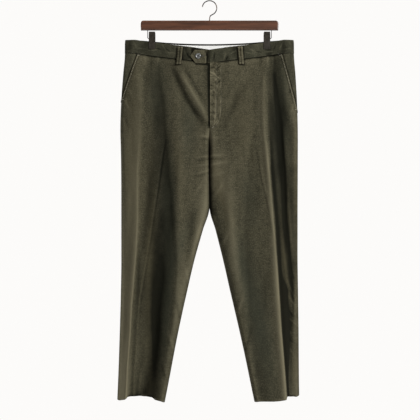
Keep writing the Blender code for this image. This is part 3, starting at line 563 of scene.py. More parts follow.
def line_heights(lines, x, z):
    """The summed height of the long lines at places x, z of a whole grid."""
    height = np.zeros_like(x)
    for table in lines:
        at, inside = read_down(table, LINE_COLUMNS, z)
        beside = x - at["x"]
        width = np.where(beside < 0, at["in"], at["out"])
        height += np.where(inside, at["height"] * near(beside, width), 0.0)
    return height


print("back lines", {side: len(BACK_LINES[side]) for side in SIDES})

# %% [markdown]
# ## Hollows and shades
# Between two ridges the cloth sinks into a flat-bottomed hollow, steep beside the ridge that throws the
# shade and soft on its other side. A painted shade is drawn in the same way, but it only darkens the colour
# and leaves the form alone. A texture could be painted for this, but the tables can be read and changed.

# %% Hollows between the folds
# from and to are distances from the centre line, near and far the widths of the two slopes
HOLLOW_COLUMNS = ("z", "from", "to", "depth", "near", "far")
FRONT_HOLLOWS = {
    "right": (
        # broad hollow down the middle of the leg
        ((-146, 138, 190, 0, 16, 16), (-214, 138, 200, 3.4, 14, 18), (-287, 126, 202, 3.4, 14, 18),
         (-374, 120, 204, 3.4, 14, 18), (-490, 110, 212, 4, 14, 20), (-634, 96, 210, 4.2, 14, 14),
         (-780, 88, 214, 3.4, 14, 10), (-954, 104, 212, 3, 14, 12), (-1099, 136, 212, 1.2, 15, 8),
         (-1160, 140, 212, 0.6, 15, 8)),
        # its deepest part, low down
        ((-600, 126, 170, 0, 22, 20), (-780, 120, 180, 4.4, 24, 20), (-954, 132, 176, 4.5, 32, 22),
         (-1040, 142, 168, 4.2, 32, 26), (-1099, 155, 172, 4, 26, 23), (-1160, 157, 172, 4, 24, 20)),
    ),
    "left": (
        # recess beside the main ridge, soft at the hip and steep where the ridge stands over it
        ((-142, 160, 206, 1, 20, 20), (-214, 155, 210, 5.2, 20, 22), (-287, 149, 230, 6, 22, 30),
         (-374, 150, 254, 5.8, 24, 24), (-450, 166, 254, 4.6, 8, 24), (-490, 171, 258, 5.6, 4, 16),
         (-634, 183.5, 260, 5.8, 3, 12), (-780, 194.5, 258, 6.6, 3, 12), (-954, 205.5, 246, 6.6, 3, 12),
         (-1099, 218, 244, 6.2, 3, 12), (-1160, 222, 242, 5.2, 3, 12)),
        # soft hollow inside the main ridge
        ((-190, 112, 156, 0, 16, 8), (-230, 112, 156, 1.8, 16, 10), (-374, 114, 156, 1.4, 16, 10),
         (-440, 102, 162, 2.2, 18, 12), (-634, 90, 176, 2.6, 14, 14), (-780, 94, 188, 2.6, 18, 22),
         (-954, 104, 200, 3.4, 16, 20), (-1160, 136, 220, 4, 16, 22)),
    ),
}
BACK_HOLLOWS = {
    "right": (
        ((-560, 176, 226, 0, 10, 16), (-720, 182, 232, 4.5, 5, 16), (-960, 206, 238, 5, 4, 14),
         (-1160, 222, 246, 3, 6, 12)),
        ((-470, 82, 120, 0, 14, 14), (-640, 88, 126, 3, 12, 12), (-900, 118, 146, 3.5, 12, 8),
         (-1160, 150, 186, 4, 12, 8)),
    ),
    "left": (
        ((-600, 172, 220, 0, 12, 16), (-790, 182, 232, 5, 4, 16), (-1000, 204, 240, 4.5, 5, 14),
         (-1160, 226, 248, 3, 6, 12)),
        ((-440, 90, 126, 0, 14, 14), (-600, 94, 134, 3, 14, 10), (-860, 124, 158, 4, 12, 8),
         (-1160, 160, 196, 4, 12, 8)),
    ),
}


HOLLOWS = {"front": FRONT_HOLLOWS, "back": BACK_HOLLOWS}


def hollow_depths(hollows, x, z):
    """The summed depth of flat-bottomed hollows, each steep or soft at its near and far side."""
    depths = np.zeros_like(x)
    for table in hollows:
        at, inside = read_down(table, HOLLOW_COLUMNS, z)
        sunk = ramp(x, at["from"], at["from"] + at["near"]) * (1 - ramp(x, at["to"] - at["far"], at["to"]))
        depths += np.where(inside, at["depth"] * sunk, 0.0)
    return depths


print("front hollows", {side: len(FRONT_HOLLOWS[side]) for side in SIDES})

# %% Painted shades in the folds
# read like hollows, but they only paint shade on the cloth, or paint light where the depth is negative
FRONT_SHADES = {
    "right": (
        # painted light in the hollow low down
        ((-940, 160, 188, 0, 8, 8), (-983, 160, 188, -3.4, 8, 8), (-1040, 158, 196, -5.6, 14, 14),
         (-1098.5, 156, 210, -6.4, 20, 10), (-1160, 160, 212, -6, 18, 10)),
        # under the outer ridge
        ((-665, 196, 207.5, 0, 8, 2.5), (-722, 196, 211.2, 4, 10, 2.5), (-780, 192, 214.8, 3.8, 12, 2.5),
         (-838, 196, 220.3, 4, 12, 2.5), (-896, 198, 224.2, 4.2, 12, 2.5), (-954, 198, 227, 4.2, 10, 2.5),
         (-1012, 206, 232.2, 3.6, 10, 2.5), (-1055, 214, 236, 0, 10, 2.5)),
    ),
    "left": (
        # beside the main ridge at the hip
        ((-262, 165.5, 190, 0, 3, 14), (-316, 166.5, 190, 4.8, 3, 16), (-374, 166.8, 198, 2.6, 3, 14),
         (-432, 170, 202, 1.4, 3, 10), (-475, 173.5, 204, 0, 3, 10)),
        # under the ridge, low down
        ((-720, 193.5, 201, 0, 3, 10), (-794, 199, 214, 7, 3, 12), (-837.5, 201, 233, 6.2, 3, 10),
         (-866.5, 203, 231, 6.6, 3, 10), (-924.5, 206, 234.5, 8.4, 3, 8), (-982.5, 210, 234, 9.5, 3, 6),
         (-1026, 214, 233, 9.5, 3, 5), (-1069.5, 217.5, 230, 8, 3, 4), (-1098.5, 220.5, 228, 7, 3, 4),
         (-1160, 225, 229, 5, 3, 4)),
    ),
}


print("front shades", {side: len(FRONT_SHADES[side]) for side in SIDES})

# %% Short creases
DAB_COLUMNS = ("x", "z", "length", "width", "tilt", "height")
FRONT_DABS = {
    # creases by the inseam, below the clips and across the lap
    "right": (
        (12, -394, 22, 2.8, 8, 1.5), (14, -404, 20, 2.6, 6, -1.3), (14, -452, 20, 2.6, -6, 1.7),
        (18, -461, 20, 2.6, -6, -1.3), (16, -476, 18, 2.4, -12, 1.4), (20, -496, 24, 3, -14, 1.7),
        (24, -506, 22, 2.8, -14, -1), (30, -540, 20, 4, -60, 1.4), (150, -168, 16, 4, 96, 1.4),
        (170, -176, 20, 4.4, 90, -1.4), (186, -170, 18, 4, 84, 1.3), (232, -262, 18, 4, 60, 1.2),
        (240, -300, 20, 4, 66, 1.2), (243, -345, 22, 4, 72, -1.2), (62, -800, 30, 4.6, 74, 1.8),
        (88, -905, 34, 4.6, 76, -1.6), (110, -985, 30, 4.4, 72, 1.6), (132, -1075, 26, 4.4, 78, -1.4),
    ),
    "left": (
        (41, -204, 7, 1.8, 18, 1.3), (48, -208.5, 7, 1.8, 12, -1), (30, -186, 5, 1.6, 30, 1),
        (40, -230, 12, 2.6, 50, -0.7), (14, -398, 22, 2.8, 6, 1.4), (12, -449, 26, 3, 2, 2),
        (14, -459, 24, 2.8, 0, -1.5), (18, -473, 28, 3.2, 8, 1.8), (20, -486, 22, 2.8, 10, -0.9),
        (20, -503, 20, 2.8, 16, 1.1), (28, -545, 22, 4, 56, 1.4), (148, -168, 18, 4.2, 84, -1.3),
        (168, -176, 20, 4.4, 90, 1.4), (188, -170, 16, 4, 96, -1.2), (233, -262, 20, 4, 60, -1.2),
        (240, -310, 22, 4, 70, 1.3), (240, -872, 22, 2.6, -58, 1), (236, -905, 24, 2.4, -50, -0.9),
        (242, -930, 20, 2.2, -44, 1), (238, -965, 22, 2.4, -54, 0.8), (244, -990, 18, 2.2, -36, -0.9),
        (240, -1020, 20, 2.4, -62, 0.9), (236, -835, 26, 2.6, -66, 0.9), (244, -800, 26, 2.6, -70, -0.8),
        (88, -880, 30, 4.6, 72, 1.6), (110, -985, 30, 4.4, 74, -1.4), (40, -700, 28, 4.4, 66, 1.5),
    ),
}
BACK_DABS = {
    "right": (
        (14, -452, 26, 3.4, -6, 1.4), (18, -476, 26, 3.4, -12, -1.2), (22, -500, 24, 3.4, -16, 1.3),
        (30, -540, 24, 4.4, -50, 1.4), (160, -172, 18, 4.4, 92, 1.4), (182, -172, 16, 4, 84, -1.3),
        (238, -320, 22, 4, 68, 1.3), (70, -820, 30, 4.6, 74, 1.6), (104, -960, 30, 4.6, 76, -1.5),
        (120, -730, 24, 5, 18, 1.5), (130, -745, 24, 5, 14, -1.2),
    ),
    "left": (
        (14, -448, 26, 3.4, 6, 1.4), (18, -470, 26, 3.4, 10, -1.2), (24, -496, 24, 3.4, 14, 1.3),
        (30, -545, 24, 4.4, 54, 1.4), (158, -172, 18, 4.4, 88, 1.4), (180, -172, 16, 4, 96, -1.3),
        (240, -340, 22, 4, 70, 1.3), (76, -860, 30, 4.6, 72, 1.6), (112, -740, 24, 5, -16, 1.5),
        (122, -756, 24, 5, -12, -1.2),
    ),
}


DABS = {"front": FRONT_DABS, "back": BACK_DABS}


def dab_heights(dabs, x, z, names=DAB_COLUMNS):
    """The sum of short soft ridges. tilt is in degrees from level, rising away from the centre."""
    total = np.zeros_like(x)
    for row in dabs:
        at = {name: column((row,), names, name)[0] for name in names}
        turn = math.radians(at["tilt"])
        along = (x - at["x"]) * math.cos(turn) + (z - at["z"]) * math.sin(turn)
        across = -(x - at["x"]) * math.sin(turn) + (z - at["z"]) * math.cos(turn)
        total += at[names[-1]] * near(along, at["length"]) * near(across, at["width"])
    return total


print(sum(len(dabs) for dabs in FRONT_DABS.values()), "short creases on the front")

# %% Painted tint
# painted tint, drawn like the creases: a positive strength paints a cooler tint where the cloth lies in
# shade, a negative one a warmer, paler tint where it is lit
TINT_COLUMNS = ("x", "z", "length", "width", "tilt", "strength")
FRONT_PAINTED_TINT = {
    "right": (
        (119, -600, 170, 22, 90, 1.1), (127, -880, 170, 20, -86, 1.0), (150, -280, 110, 30, 90, 0.7),
        (60, -370, 70, 22, 90, 0.6), (258, -230, 120, 14, 90, 0.8), (80, -700, 80, 16, -70, 0.5),
        (219, -500, 240, 22, 90, -0.9), (90, -470, 120, 14, 86, -0.5), (252, -1030, 130, 16, -86, -0.8),
        (169, -800, 330, 16, 90, -1.2),
    ),
    "left": (
        (141, -930, 180, 32, -80, 1.0), (90, -740, 110, 20, -78, 0.6), (205, -340, 190, 24, 90, 1.1),
        (216, -820, 300, 14, 90, -1.1), (112, -560, 90, 24, -84, 0.5), (36, -560, 120, 18, -74, -0.8),
        (251, -480, 260, 10, 90, -0.6), (250, -1070, 80, 14, 90, -0.8), (100, -380, 130, 26, 90, -0.4),
    ),
}
BACK_PAINTED_TINT = {
    "right": (
        (130, -620, 190, 30, -85, 0.9), (200, -300, 110, 24, 90, 0.7), (224, -800, 200, 20, -88, -0.7),
        (60, -360, 90, 24, 80, -0.5),
    ),
    "left": (
        (124, -760, 200, 30, -84, 0.9), (70, -310, 110, 30, 90, 0.7), (214, -550, 200, 22, 90, -0.7),
        (180, -1040, 90, 20, -84, 0.6),
    ),
}


PAINTED_TINTS = {"front": FRONT_PAINTED_TINT, "back": BACK_PAINTED_TINT}
print("lean zones", {side: len(FRONT_PAINTED_TINT[side]) for side in SIDES})

# %% [markdown]
# ## Seams and unevenness
# A sewn edge dips, the allowance turned in behind it makes a faint ridge, and the thread puckers it. No two
# puckers are alike, so they come from noise: random numbers on a grid, blended smoothly between its
# corners. A fixed seed for each use gives the same cloth at each run.

# %% Noise and seams
NOISE_CELLS = (128, 256)
NOISE_SHIFT = (31.3, 57.7)  # keeps the centre line off a cell's edge


def smooth_noise(u, v, cell_u, cell_v, seed):
    """Smooth noise from -1 to 1 on a grid of cells, the same at each run."""
    wide, high = NOISE_CELLS
    lattice = np.random.default_rng(seed).uniform(-1, 1, NOISE_CELLS)
    a, b = u / cell_u + NOISE_SHIFT[0], v / cell_v + NOISE_SHIFT[1]
    i, j = np.floor(a).astype(int), np.floor(b).astype(int)
    s, t = a - i, b - j
    s, t = s * s * (3 - 2 * s), t * t * (3 - 2 * t)
    corner = {(p, q): lattice[(i + p) % wide, (j + q) % high] for p in (0, 1) for q in (0, 1)}
    near_side, far_side = (corner[0, q] * (1 - s) + corner[1, q] * s for q in (0, 1))
    return near_side * (1 - t) + far_side * t


SEAM_DIP = 0.0007
SEAM_DIP_WIDTH = 0.0018
ALLOWANCE = (0.0100, 0.0045, 0.0005)  # the turned edge inside: place, width, rise
PUCKER_RISE = 0.0005
PUCKER_REACH = 0.008


def seam_heights(distance, z, seed):
    """The dip at a sewn edge, the faint ridge of the turned allowance beside it and uneven puckers."""
    place, width, rise = ALLOWANCE
    pucker = smooth_noise(z, distance * 0.6, 0.0075, 0.02, seed)
    dip = -SEAM_DIP * near(distance, SEAM_DIP_WIDTH)
    drawn_in = PUCKER_RISE * pucker * fading(distance, PUCKER_REACH)
    return dip + rise * near(distance - place, width) + drawn_in


print("a seam dips by", SEAM_DIP)

# %% [markdown]
# ## Laying a shell of cloth
# Each piece of cloth is one sheet: a grid is made, its points are placed on the surface, and a Solidify
# modifier gives it the cloth's own thickness. Three things travel with the grid. The first is a map called
# grain, in metres along and across the wales, so that the cords run down each piece as they are woven and
# not straight down the world. The second value is painted light and shade: the colour is painted pale where
# a point stands on a fold and dark where it lies in one or in a shadow, with a few worn edges mixed in. The
# third value is a painted tint, cooler where the cloth lies in shade and warmer where it is lit.

# %% Shell maker
CLOTH = 0.0016
GRAIN_SMOOTHING = 23  # rows that even out the cords' spacing down the cloth
SHARP_EDGE = 55  # degrees, above which an edge of the cloth is rounded


def piece_from(bm, name, materials):
    """The bmesh made an object at the origin that rides on the one body."""
    mesh = bpy.data.meshes.new(name)
    bm.to_mesh(mesh)
    bm.free()
    mesh.shade_smooth()
    for material in materials:
        mesh.materials.append(material)
    piece = bpy.data.objects.new(name, mesh)
    bpy.context.collection.objects.link(piece)
    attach(piece, "root")
    return piece


def grain_map(points, zero_column):
    """Metres across from one column and down from the first row, along the cloth."""
    across = np.linalg.norm(np.diff(points, axis=1), axis=2)
    across = np.concatenate([np.zeros((len(points), 1)), np.cumsum(across, axis=1)], axis=1)
    across = across - across[:, zero_column][:, None]
    kernel = np.hanning(GRAIN_SMOOTHING)[1:-1]
    kernel /= kernel.sum()
    pad = len(kernel) // 2
    if len(points) > 3 * pad:
        wide = np.pad(across, ((pad, pad), (0, 0)), mode="edge")
        across = np.stack([np.convolve(strip, kernel, mode="valid") for strip in wide.T], axis=1)
    down = np.linalg.norm(np.diff(points[:, zero_column], axis=0), axis=1)
    down = np.concatenate([[0.0], np.cumsum(down)])
    return np.stack([across, np.repeat(down[:, None], points.shape[1], axis=1)], axis=2)


def shell(name, points, facing, materials, thickness=CLOTH, relief=None, lean=None, grain=None,
          rounded=0.0005, inner=0):
    """A sheet of cloth on a grid of points. facing is -1 if its outer face looks to the front."""
    rows, columns = points.shape[:2]
    grain = grain_map(points, columns // 2) if grain is None else grain
    relief = np.zeros((rows, columns)) if relief is None else relief
    lean = np.zeros((rows, columns)) if lean is None else lean
    bm = bmesh.new()
    row_of, column_of = bm.verts.layers.int.new("row"), bm.verts.layers.int.new("column")
    shading_of, tint_of = bm.verts.layers.float.new("relief"), bm.verts.layers.float.new("lean")
    grid = bmesh.ops.create_grid(bm, x_segments=columns - 1, y_segments=rows - 1, size=1.0)
    for vert in grid["verts"]:
        i, j = round((vert.co.y + 1) / 2 * (rows - 1)), round((vert.co.x + 1) / 2 * (columns - 1))
        vert[row_of], vert[column_of] = i, j
        vert[shading_of], vert[tint_of] = relief[i, j], lean[i, j]
        vert.co = points[i, j]
    uv = bm.loops.layers.uv.new("grain")
    for face in bm.faces:
        for loop in face.loops:
            loop[uv].uv = grain[loop.vert[row_of], loop.vert[column_of]]
    bm.normal_update()
    if sum(face.normal.y * face.calc_area() for face in bm.faces) * facing < 0:
        bmesh.ops.reverse_faces(bm, faces=bm.faces)
    piece = piece_from(bm, name, materials)
    wall = piece.modifiers.new("thickness", "SOLIDIFY")
    wall.thickness = thickness
    wall.offset = -1.0
    wall.material_offset = inner
    if rounded:
        edge = piece.modifiers.new("rounded_edges", "BEVEL")
        edge.width = rounded
        edge.segments = 2
        edge.limit_method = "ANGLE"
        edge.angle_limit = math.radians(SHARP_EDGE)
        edge.harden_normals = False
    return piece


print("cloth", CLOTH, "thick")

# %% Seats on the cloth
def outer_skin(pieces):
    """The outer faces of several pieces as one tree, for seating something on them."""
    verts, faces = [], []
    for piece in pieces:
        start = len(verts)
        verts += [v.co.copy() for v in piece.data.vertices]
        faces += [[start + i for i in polygon.vertices] for polygon in piece.data.polygons]
    return BVHTree.FromPolygons(verts, faces)


def seat_at(tree, x, z, facing, reach=0.001):
    """The y of the outermost cloth at x and z or just beside it, from the side that it faces."""
    found = []
    for dx in (-reach, 0.0, reach):
        for dz in (-reach, 0.0, reach):
            hit = tree.ray_cast(Vector((x + dx, facing, z + dz)), Vector((0, -facing, 0)))[0]
            if hit:
                found.append(hit.y)
    return facing * max(facing * y for y in found)


print("seats are read from the finished pieces")

# %% [markdown]
# ## Needlecord
# Corduroy is a pile cloth. Fine cords, called wales, run down it, and a short nap covers them. Up close the
# wales are round ridges, so the shader raises them as a bump from the grain map. From a distance the eye
# sees faint streaks along the cloth, slubs across it, and patches where the nap leans another way. Nap also
# glows a little at grazing angles, which is what sheen is for. An image could hold all this, but nodes stay
# sharp at any distance.

# %% Node helpers
class Nodes:
    """Short calls to add and join nodes in one material."""

    def __init__(self, name):
        self.material = bpy.data.materials.new(name)
        self.material.use_nodes = True
        self.tree = self.material.node_tree
        self.shader = self.tree.nodes["Principled BSDF"]

    def add(self, kind, inputs=(), **settings):
        node = self.tree.nodes.new(kind)
        for key, value in settings.items():
            setattr(node, key, value)
        for key, value in dict(inputs).items():
            if isinstance(value, bpy.types.NodeSocket):
                self.tree.links.new(value, node.inputs[key])
            else:
                node.inputs[key].default_value = value
        return node

    def math(self, operation, *values):
        return self.add("ShaderNodeMath", dict(enumerate(values)), operation=operation).outputs[0]

    def noise(self, vector, scale, detail=3.0, roughness=0.55):
        node = self.add("ShaderNodeTexNoise", {"Vector": vector, "Scale": scale, "Detail": detail,
                                               "Roughness": roughness})
        return node.outputs[0]

    def stretched(self, vector, scale):
        return self.add("ShaderNodeMapping", {"Vector": vector, "Scale": scale}).outputs[0]

    def blend(self, factor, first, second):
        node = self.add("ShaderNodeMix", data_type="RGBA")
        for socket, value in zip((node.inputs[0], node.inputs[6], node.inputs[7]), (factor, first, second)):
            if isinstance(value, bpy.types.NodeSocket):
                self.tree.links.new(value, socket)
            else:
                socket.default_value = value
        return node.outputs[2]

    def spread(self, value, low, high, to_low=0.0, to_high=1.0):
        node = self.add("ShaderNodeMapRange", {0: value, 1: low, 2: high, 3: to_low, 4: to_high})
        return node.outputs[0]

    def bump(self, height, distance, strength=1.0, under=None):
        inputs = {"Height": height, "Distance": distance, "Strength": strength}
        if under is not None:
            inputs["Normal"] = under
        return self.add("ShaderNodeBump", inputs).outputs[0]

    def set(self, **values):
        for key, value in values.items():
            socket = self.shader.inputs[key.replace("_", " ")]
            if isinstance(value, bpy.types.NodeSocket):
                self.tree.links.new(value, socket)
            else:
                socket.default_value = value
        return self.material


def rgb(red, green, blue):
    return (red, green, blue, 1.0)


print("node helpers", [name for name in vars(Nodes) if not name.startswith("_")])

# %% Needlecord material
WALE_PITCH = 0.0019


def needlecord():
    """Olive brown needlecord."""
    n = Nodes("needlecord")
    grain = n.add("ShaderNodeUVMap", uv_map="grain").outputs[0]
    place = n.add("ShaderNodeTexCoord").outputs["Object"]
    apart = n.add("ShaderNodeSeparateXYZ", {0: grain})
    wobble = n.math("MULTIPLY", n.noise(n.stretched(grain, (60, 14, 1)), 1.0, 2.0), 0.0005)
    across = n.math("ADD", apart.outputs[0], wobble)
    wale = n.math("ABSOLUTE", n.math("SINE", n.math("MULTIPLY", across, math.pi / WALE_PITCH)))
    fibre = n.noise(n.stretched(grain, (2600, 900, 1)), 1.0, 2.0)
    fleck = n.noise(n.stretched(grain, (400, 260, 1)), 1.0, 3.0, 0.6)
    streak = n.noise(n.stretched(grain, (170, 14, 1)), 1.0, 3.0)
    slub = n.noise(n.stretched(grain, (62, 210, 1)), 1.0, 3.0, 0.65)
    mottle = n.noise(n.stretched(grain, (60, 34, 1)), 1.0, 4.0, 0.65)
    brushed = n.noise(n.stretched(place, (115, 80, 75)), 1.0, 3.0, 0.65)
    patch = n.noise(place, 7.0, 3.0, 0.6)
    relief = n.add("ShaderNodeAttribute", attribute_name="relief", attribute_type="GEOMETRY").outputs["Fac"]
    lean = n.add("ShaderNodeAttribute", attribute_name="lean", attribute_type="GEOMETRY").outputs["Fac"]
    shade = n.blend(n.spread(patch, 0.30, 0.72), rgb(0.042, 0.0378, 0.0210), rgb(0.056, 0.0505, 0.0295))
    # what each layer reads, where it is absent, where it is full, how much of it then shows, its colour
    layers = (
        (mottle, 0.42, 0.64, 0.60, (0.074, 0.0665, 0.0400)),
        (mottle, 0.50, 0.34, 0.50, (0.030, 0.0290, 0.0185)),
        (brushed, 0.50, 0.66, 0.40, (0.090, 0.0810, 0.0510)),
        (brushed, 0.50, 0.36, 0.34, (0.022, 0.0215, 0.0130)),
        (streak, 0.44, 0.72, 0.45, (0.076, 0.0685, 0.0420)),
        (slub, 0.50, 0.70, 0.48, (0.092, 0.0830, 0.0520)),
        (slub, 0.50, 0.30, 0.42, (0.022, 0.0215, 0.0130)),
        (wale, 0.75, 0.0, 0.45, (0.022, 0.0210, 0.0135)),
        (fleck, 0.52, 0.66, 0.78, (0.125, 0.1130, 0.0740)),
        (fleck, 0.49, 0.36, 0.44, (0.020, 0.0195, 0.0120)),
        (fibre, 0.35, 0.75, 0.20, (0.120, 0.1100, 0.0760)),
        # a cooler tint painted where the cloth lies in shade, and a warmer, paler one where it is lit
        (lean, 0.0, 1.0, 0.55, (0.0370, 0.0420, 0.0300)),
        (lean, 0.0, -1.0, 0.45, (0.0800, 0.0680, 0.0370)),
        # painted highlight where the cloth stands up, painted shade in hollows and shadows
        (relief, 0.0, 2.0, 0.68, (0.210, 0.1870, 0.1200)),
        (relief, 0.0, -1.2, 0.95, (0.0046, 0.0048, 0.0030)),
    )
    for value, absent, full, most, colour in layers:
        shade = n.blend(n.spread(value, absent, full, 0.0, most), shade, rgb(*colour))
    cords = n.bump(wale, 0.00045, 0.7)
    nap = n.bump(fibre, 0.00025, 0.6, cords)
    return n.set(Base_Color=shade, Normal=nap, Roughness=0.92, Specular_IOR_Level=0.05, Sheen_Weight=0.05,
                 Sheen_Roughness=0.55, Sheen_Tint=rgb(0.62, 0.58, 0.40))


cord_cloth = needlecord()
print("layers of the cord", len(cord_cloth.node_tree.nodes), "nodes")

# %% [markdown]
# ## Reverse and lining
# The back of the cord has no pile: it is a flat weave, a little paler than the front. The waistband is
# lined with white cotton. Both are the product of two sine waves, one for each direction of the yarn, which
# is enough for a weave this fine.

# %% Woven cloths
def plain_weave(name, light, dark, pitch):
    """A flat woven cloth, for linings and the back of the cord."""
    n = Nodes(name)
    grain = n.add("ShaderNodeUVMap", uv_map="grain").outputs[0]
    apart = n.add("ShaderNodeSeparateXYZ", {0: grain})
    warp = n.math("SINE", n.math("MULTIPLY", apart.outputs[0], math.tau / pitch))
    weft = n.math("SINE", n.math("MULTIPLY", apart.outputs[1], math.tau / pitch))
    weave = n.math("MULTIPLY", warp, weft)
    patch = n.noise(n.add("ShaderNodeTexCoord").outputs["Object"], 22.0, 4.0)
    shade = n.blend(n.spread(patch, 0.3, 0.7), dark, light)
    shade = n.blend(n.spread(weave, 0.2, -1.0, 0.0, 0.35), shade, dark)
    return n.set(Base_Color=shade, Normal=n.bump(weave, 0.00012, 0.5), Roughness=0.85, Sheen_Weight=0.1)


cord_reverse = plain_weave("needlecord_reverse", rgb(0.088, 0.082, 0.060), rgb(0.060, 0.056, 0.040), 0.0009)
white_lining = plain_weave("white_lining", rgb(0.93, 0.925, 0.90), rgb(0.86, 0.855, 0.83), 0.0007)
print("cloths:", [m.name for m in (cord_cloth, cord_reverse, white_lining)])

# %% [markdown]
# ## Legs and seat
# Trousers have four large panels, a front and a back for each leg. A front panel is cut away along the
# slanted pocket, so its side edge follows the pocket down to the side seam. At the bottom the cloth turns
# up inside for the hem, which is why a hem looks twice as thick as the cloth. We give each panel extra rows
# that turn round and run up inside.

# %% Panel columns
POCKET_TOP_X = {"right": 0.2075, "left": 0.2090}
POCKET_BOTTOM = {"right": -0.2895, "left": -0.3190}
# columns round the inseam, from there to the crease, and from the crease to the side
CAP_STEPS = 5
INSIDE_STEPS = 48
OUTSIDE_STEPS = 58
# level and distance of each ridge edge, where the columns crowd together to keep it sharp
EDGE_COLUMNS = ("z", "x")
RIDGE_EDGES = {
    "right": ((-490, 208), (-634, 207), (-780, 218), (-954, 231), (-1160, 240.5)),
    "left": ((-490, 172), (-634, 184.5), (-780, 195.5), (-954, 207), (-1160, 223)),
}
CROWDING = 2.0
CROWD_WIDTH = 0.010
CROWD_LEVELS = (0.40, 0.50)
CROWD_SAMPLES = 400


def crowded(xs, place, amount):
    """The same number of columns between the same ends, closer together round a place."""
    even = np.linspace(xs[0], xs[-1], CROWD_SAMPLES)
    density = 1 + amount * near(even - place, CROWD_WIDTH)
    passed = np.concatenate([[0.0], np.cumsum((density[1:] + density[:-1]) / 2)])
    return np.interp((xs - xs[0]) / (xs[-1] - xs[0]), passed / passed[-1], even)


def panel_columns(face, side, level, edge=None):
    """Distances from the centre line, close together at the rolled edges."""
    s = section(side, level)
    outer, inner = s["outer"], s["inner"]
    crease = s["crease"] if face == "front" else BACK_CREASE
    middle = inner + (outer - inner) * crease
    turn = 1 - np.cos(np.linspace(0, math.pi / 2, CAP_STEPS + 1))
    inner_cap, outer_cap = inner + s["roll"] * turn, outer - s["roll"] * turn[::-1]
    inside = np.linspace(inner_cap[-1], middle, INSIDE_STEPS + 1)[1:]
    outside = np.linspace(middle, outer_cap[0], OUTSIDE_STEPS + 1)
    if face == "front":
        ridge, _ = read_down(RIDGE_EDGES[side], EDGE_COLUMNS, level)
        outside = crowded(outside, ridge["x"], CROWDING * ramp(-level, *CROWD_LEVELS))
    xs = np.concatenate([inner_cap, inside, outside[1:], outer_cap[1:]])
    if edge is not None and edge < outer:
        xs = np.where(xs > middle, middle + (xs - middle) * (edge - middle) / (outer - middle), xs)
    return xs


def pocket_edge(side, level):
    """The slanted pocket edge's distance from the centre line, or None below the pocket."""
    top_x, bottom = POCKET_TOP_X[side], POCKET_BOTTOM[side]
    if level <= bottom:
        return None
    share = float(np.clip((WAIST_SEAM - level) / (WAIST_SEAM - bottom), 0.0, 1.0))
    return top_x + (section(side, bottom)["outer"] - top_x) * share


print("columns in a row", len(panel_columns("front", "right", HEM)))

# %% [markdown]
# ## Relief and painted tone of a panel
# A panel's points move out by the fine forms, and its tone follows them as painted light and shade, so a
# crease that stands up is painted pale and a hollow dark. Some tone has no form behind it: the painted
# shade under the band, the loops and the tab, the worn edge of the pocket, and the painted dark line where
# the two fronts lap.

# %% Fine forms of a panel
# the folds pull the hem up in steps
STEP_COLUMNS = ("x", "rise")
HEM_STEPS = {
    "right": (
        (129, -4), (140.6, -1), (158, 0.8), (166.8, 6), (175.4, 5.7), (192.8, 5.5), (201.5, 7.3),
        (218.9, 8.1), (235, 8.8), (238.5, 5), (245, 2), (253.7, -0.8), (262.4, -4), (270, -4.2),
    ),
    "left": (
        (131.9, -4.5), (140.6, -2.6), (184.1, -2), (201.5, -0.4), (210.2, 1.5), (221.5, 3.8), (224.5, 11.2),
        (229, 11.2), (236.3, 9.2), (245, 7), (253.7, 3.6), (265, 2),
    ),
}
# seeds of the noise, one for each panel
SEEDS = {("front", "right"): 1, ("front", "left"): 2, ("back", "right"): 41, ("back", "left"): 42}
# how high a fold, a hollow, a drawn line, soft noise or a seam must be to turn the painted light and shade
# fully
FOLD_UNIT = 0.020
SUNK_UNIT = 0.0085
DRAWN_UNIT = 0.0022
SOFT_UNIT = 0.0050
SEWN_UNIT = 0.0016
# long ripples and the smaller unevenness over them: rise, cell across, cell down, step of the seed
RIPPLE = (0.0011, 0.026, 0.150)
RIPPLE_SLANT = 0.05
UNEVEN = ((0.0006, 0.016, 0.060, 5), (0.00025, 0.008, 0.012, 9))
LOWER_LEG = (0.20, 0.60)  # the soft ripples grow between these distances below the hook
SEAM_FADE = 0.006  # the fine forms die out this near to a seam
INSEAM_SEWN = (0.36, 0.40)  # the inseam begins below the fly
# shade of the waistband on the cloth under it: strength, reach
BAND_SHADE = (1.9, 0.0028)
# a hem pulled up this far gets painted shade, and the rest of it is worn pale
HEM_RAISED = 0.0040
HEM_SHADED = -1.0
HEM_WORN = 0.5
HEM_REACH = 0.0030


def fine_heights(face, side, x, z):
    """The heights of everything finer than the main folds, and their tone, for a whole grid."""
    seed = SEEDS[face, side]
    drawn = line_heights(LINES[face][side], x, z) + dab_heights(DABS[face][side], x, z)
    sunk = hollow_depths(HOLLOWS[face][side], x, z)
    rise, wide, high = RIPPLE
    soft = rise * ramp(-z, *LOWER_LEG) * smooth_noise(x + RIPPLE_SLANT * z, z, wide, high, seed)
    for rise, wide, high, step in UNEVEN:
        soft += rise * smooth_noise(x, z, wide, high, seed + step)
    return drawn + soft - sunk, drawn / DRAWN_UNIT + soft / SOFT_UNIT - sunk / SUNK_UNIT


def hem_step(side, x):
    """How far the hem is stepped up or down from its even curve at distances x from the centre line."""
    places, rises = (column(HEM_STEPS[side], STEP_COLUMNS, name) for name in STEP_COLUMNS)
    return np.interp(x, places, rises) - even_hem(side, x, HEM)


print("hem steps", {side: len(HEM_STEPS[side]) for side in SIDES})

# %% Shades on the fronts
LOOP_SHADOW_X = {"right": 0.0865, "left": 0.0900}
LOOP_SHADOW_SHIFT = 0.0030
LOOP_SHADOW_HALF = 0.0075
LOOP_SHADOW_END = -0.1860
# a pair of numbers is a tone's strength and its reach, and starts and ends are distances or places
LOOP_SHADE = (1.1, 0.0024)
LOOP_SHADE_BELOW = 0.0022
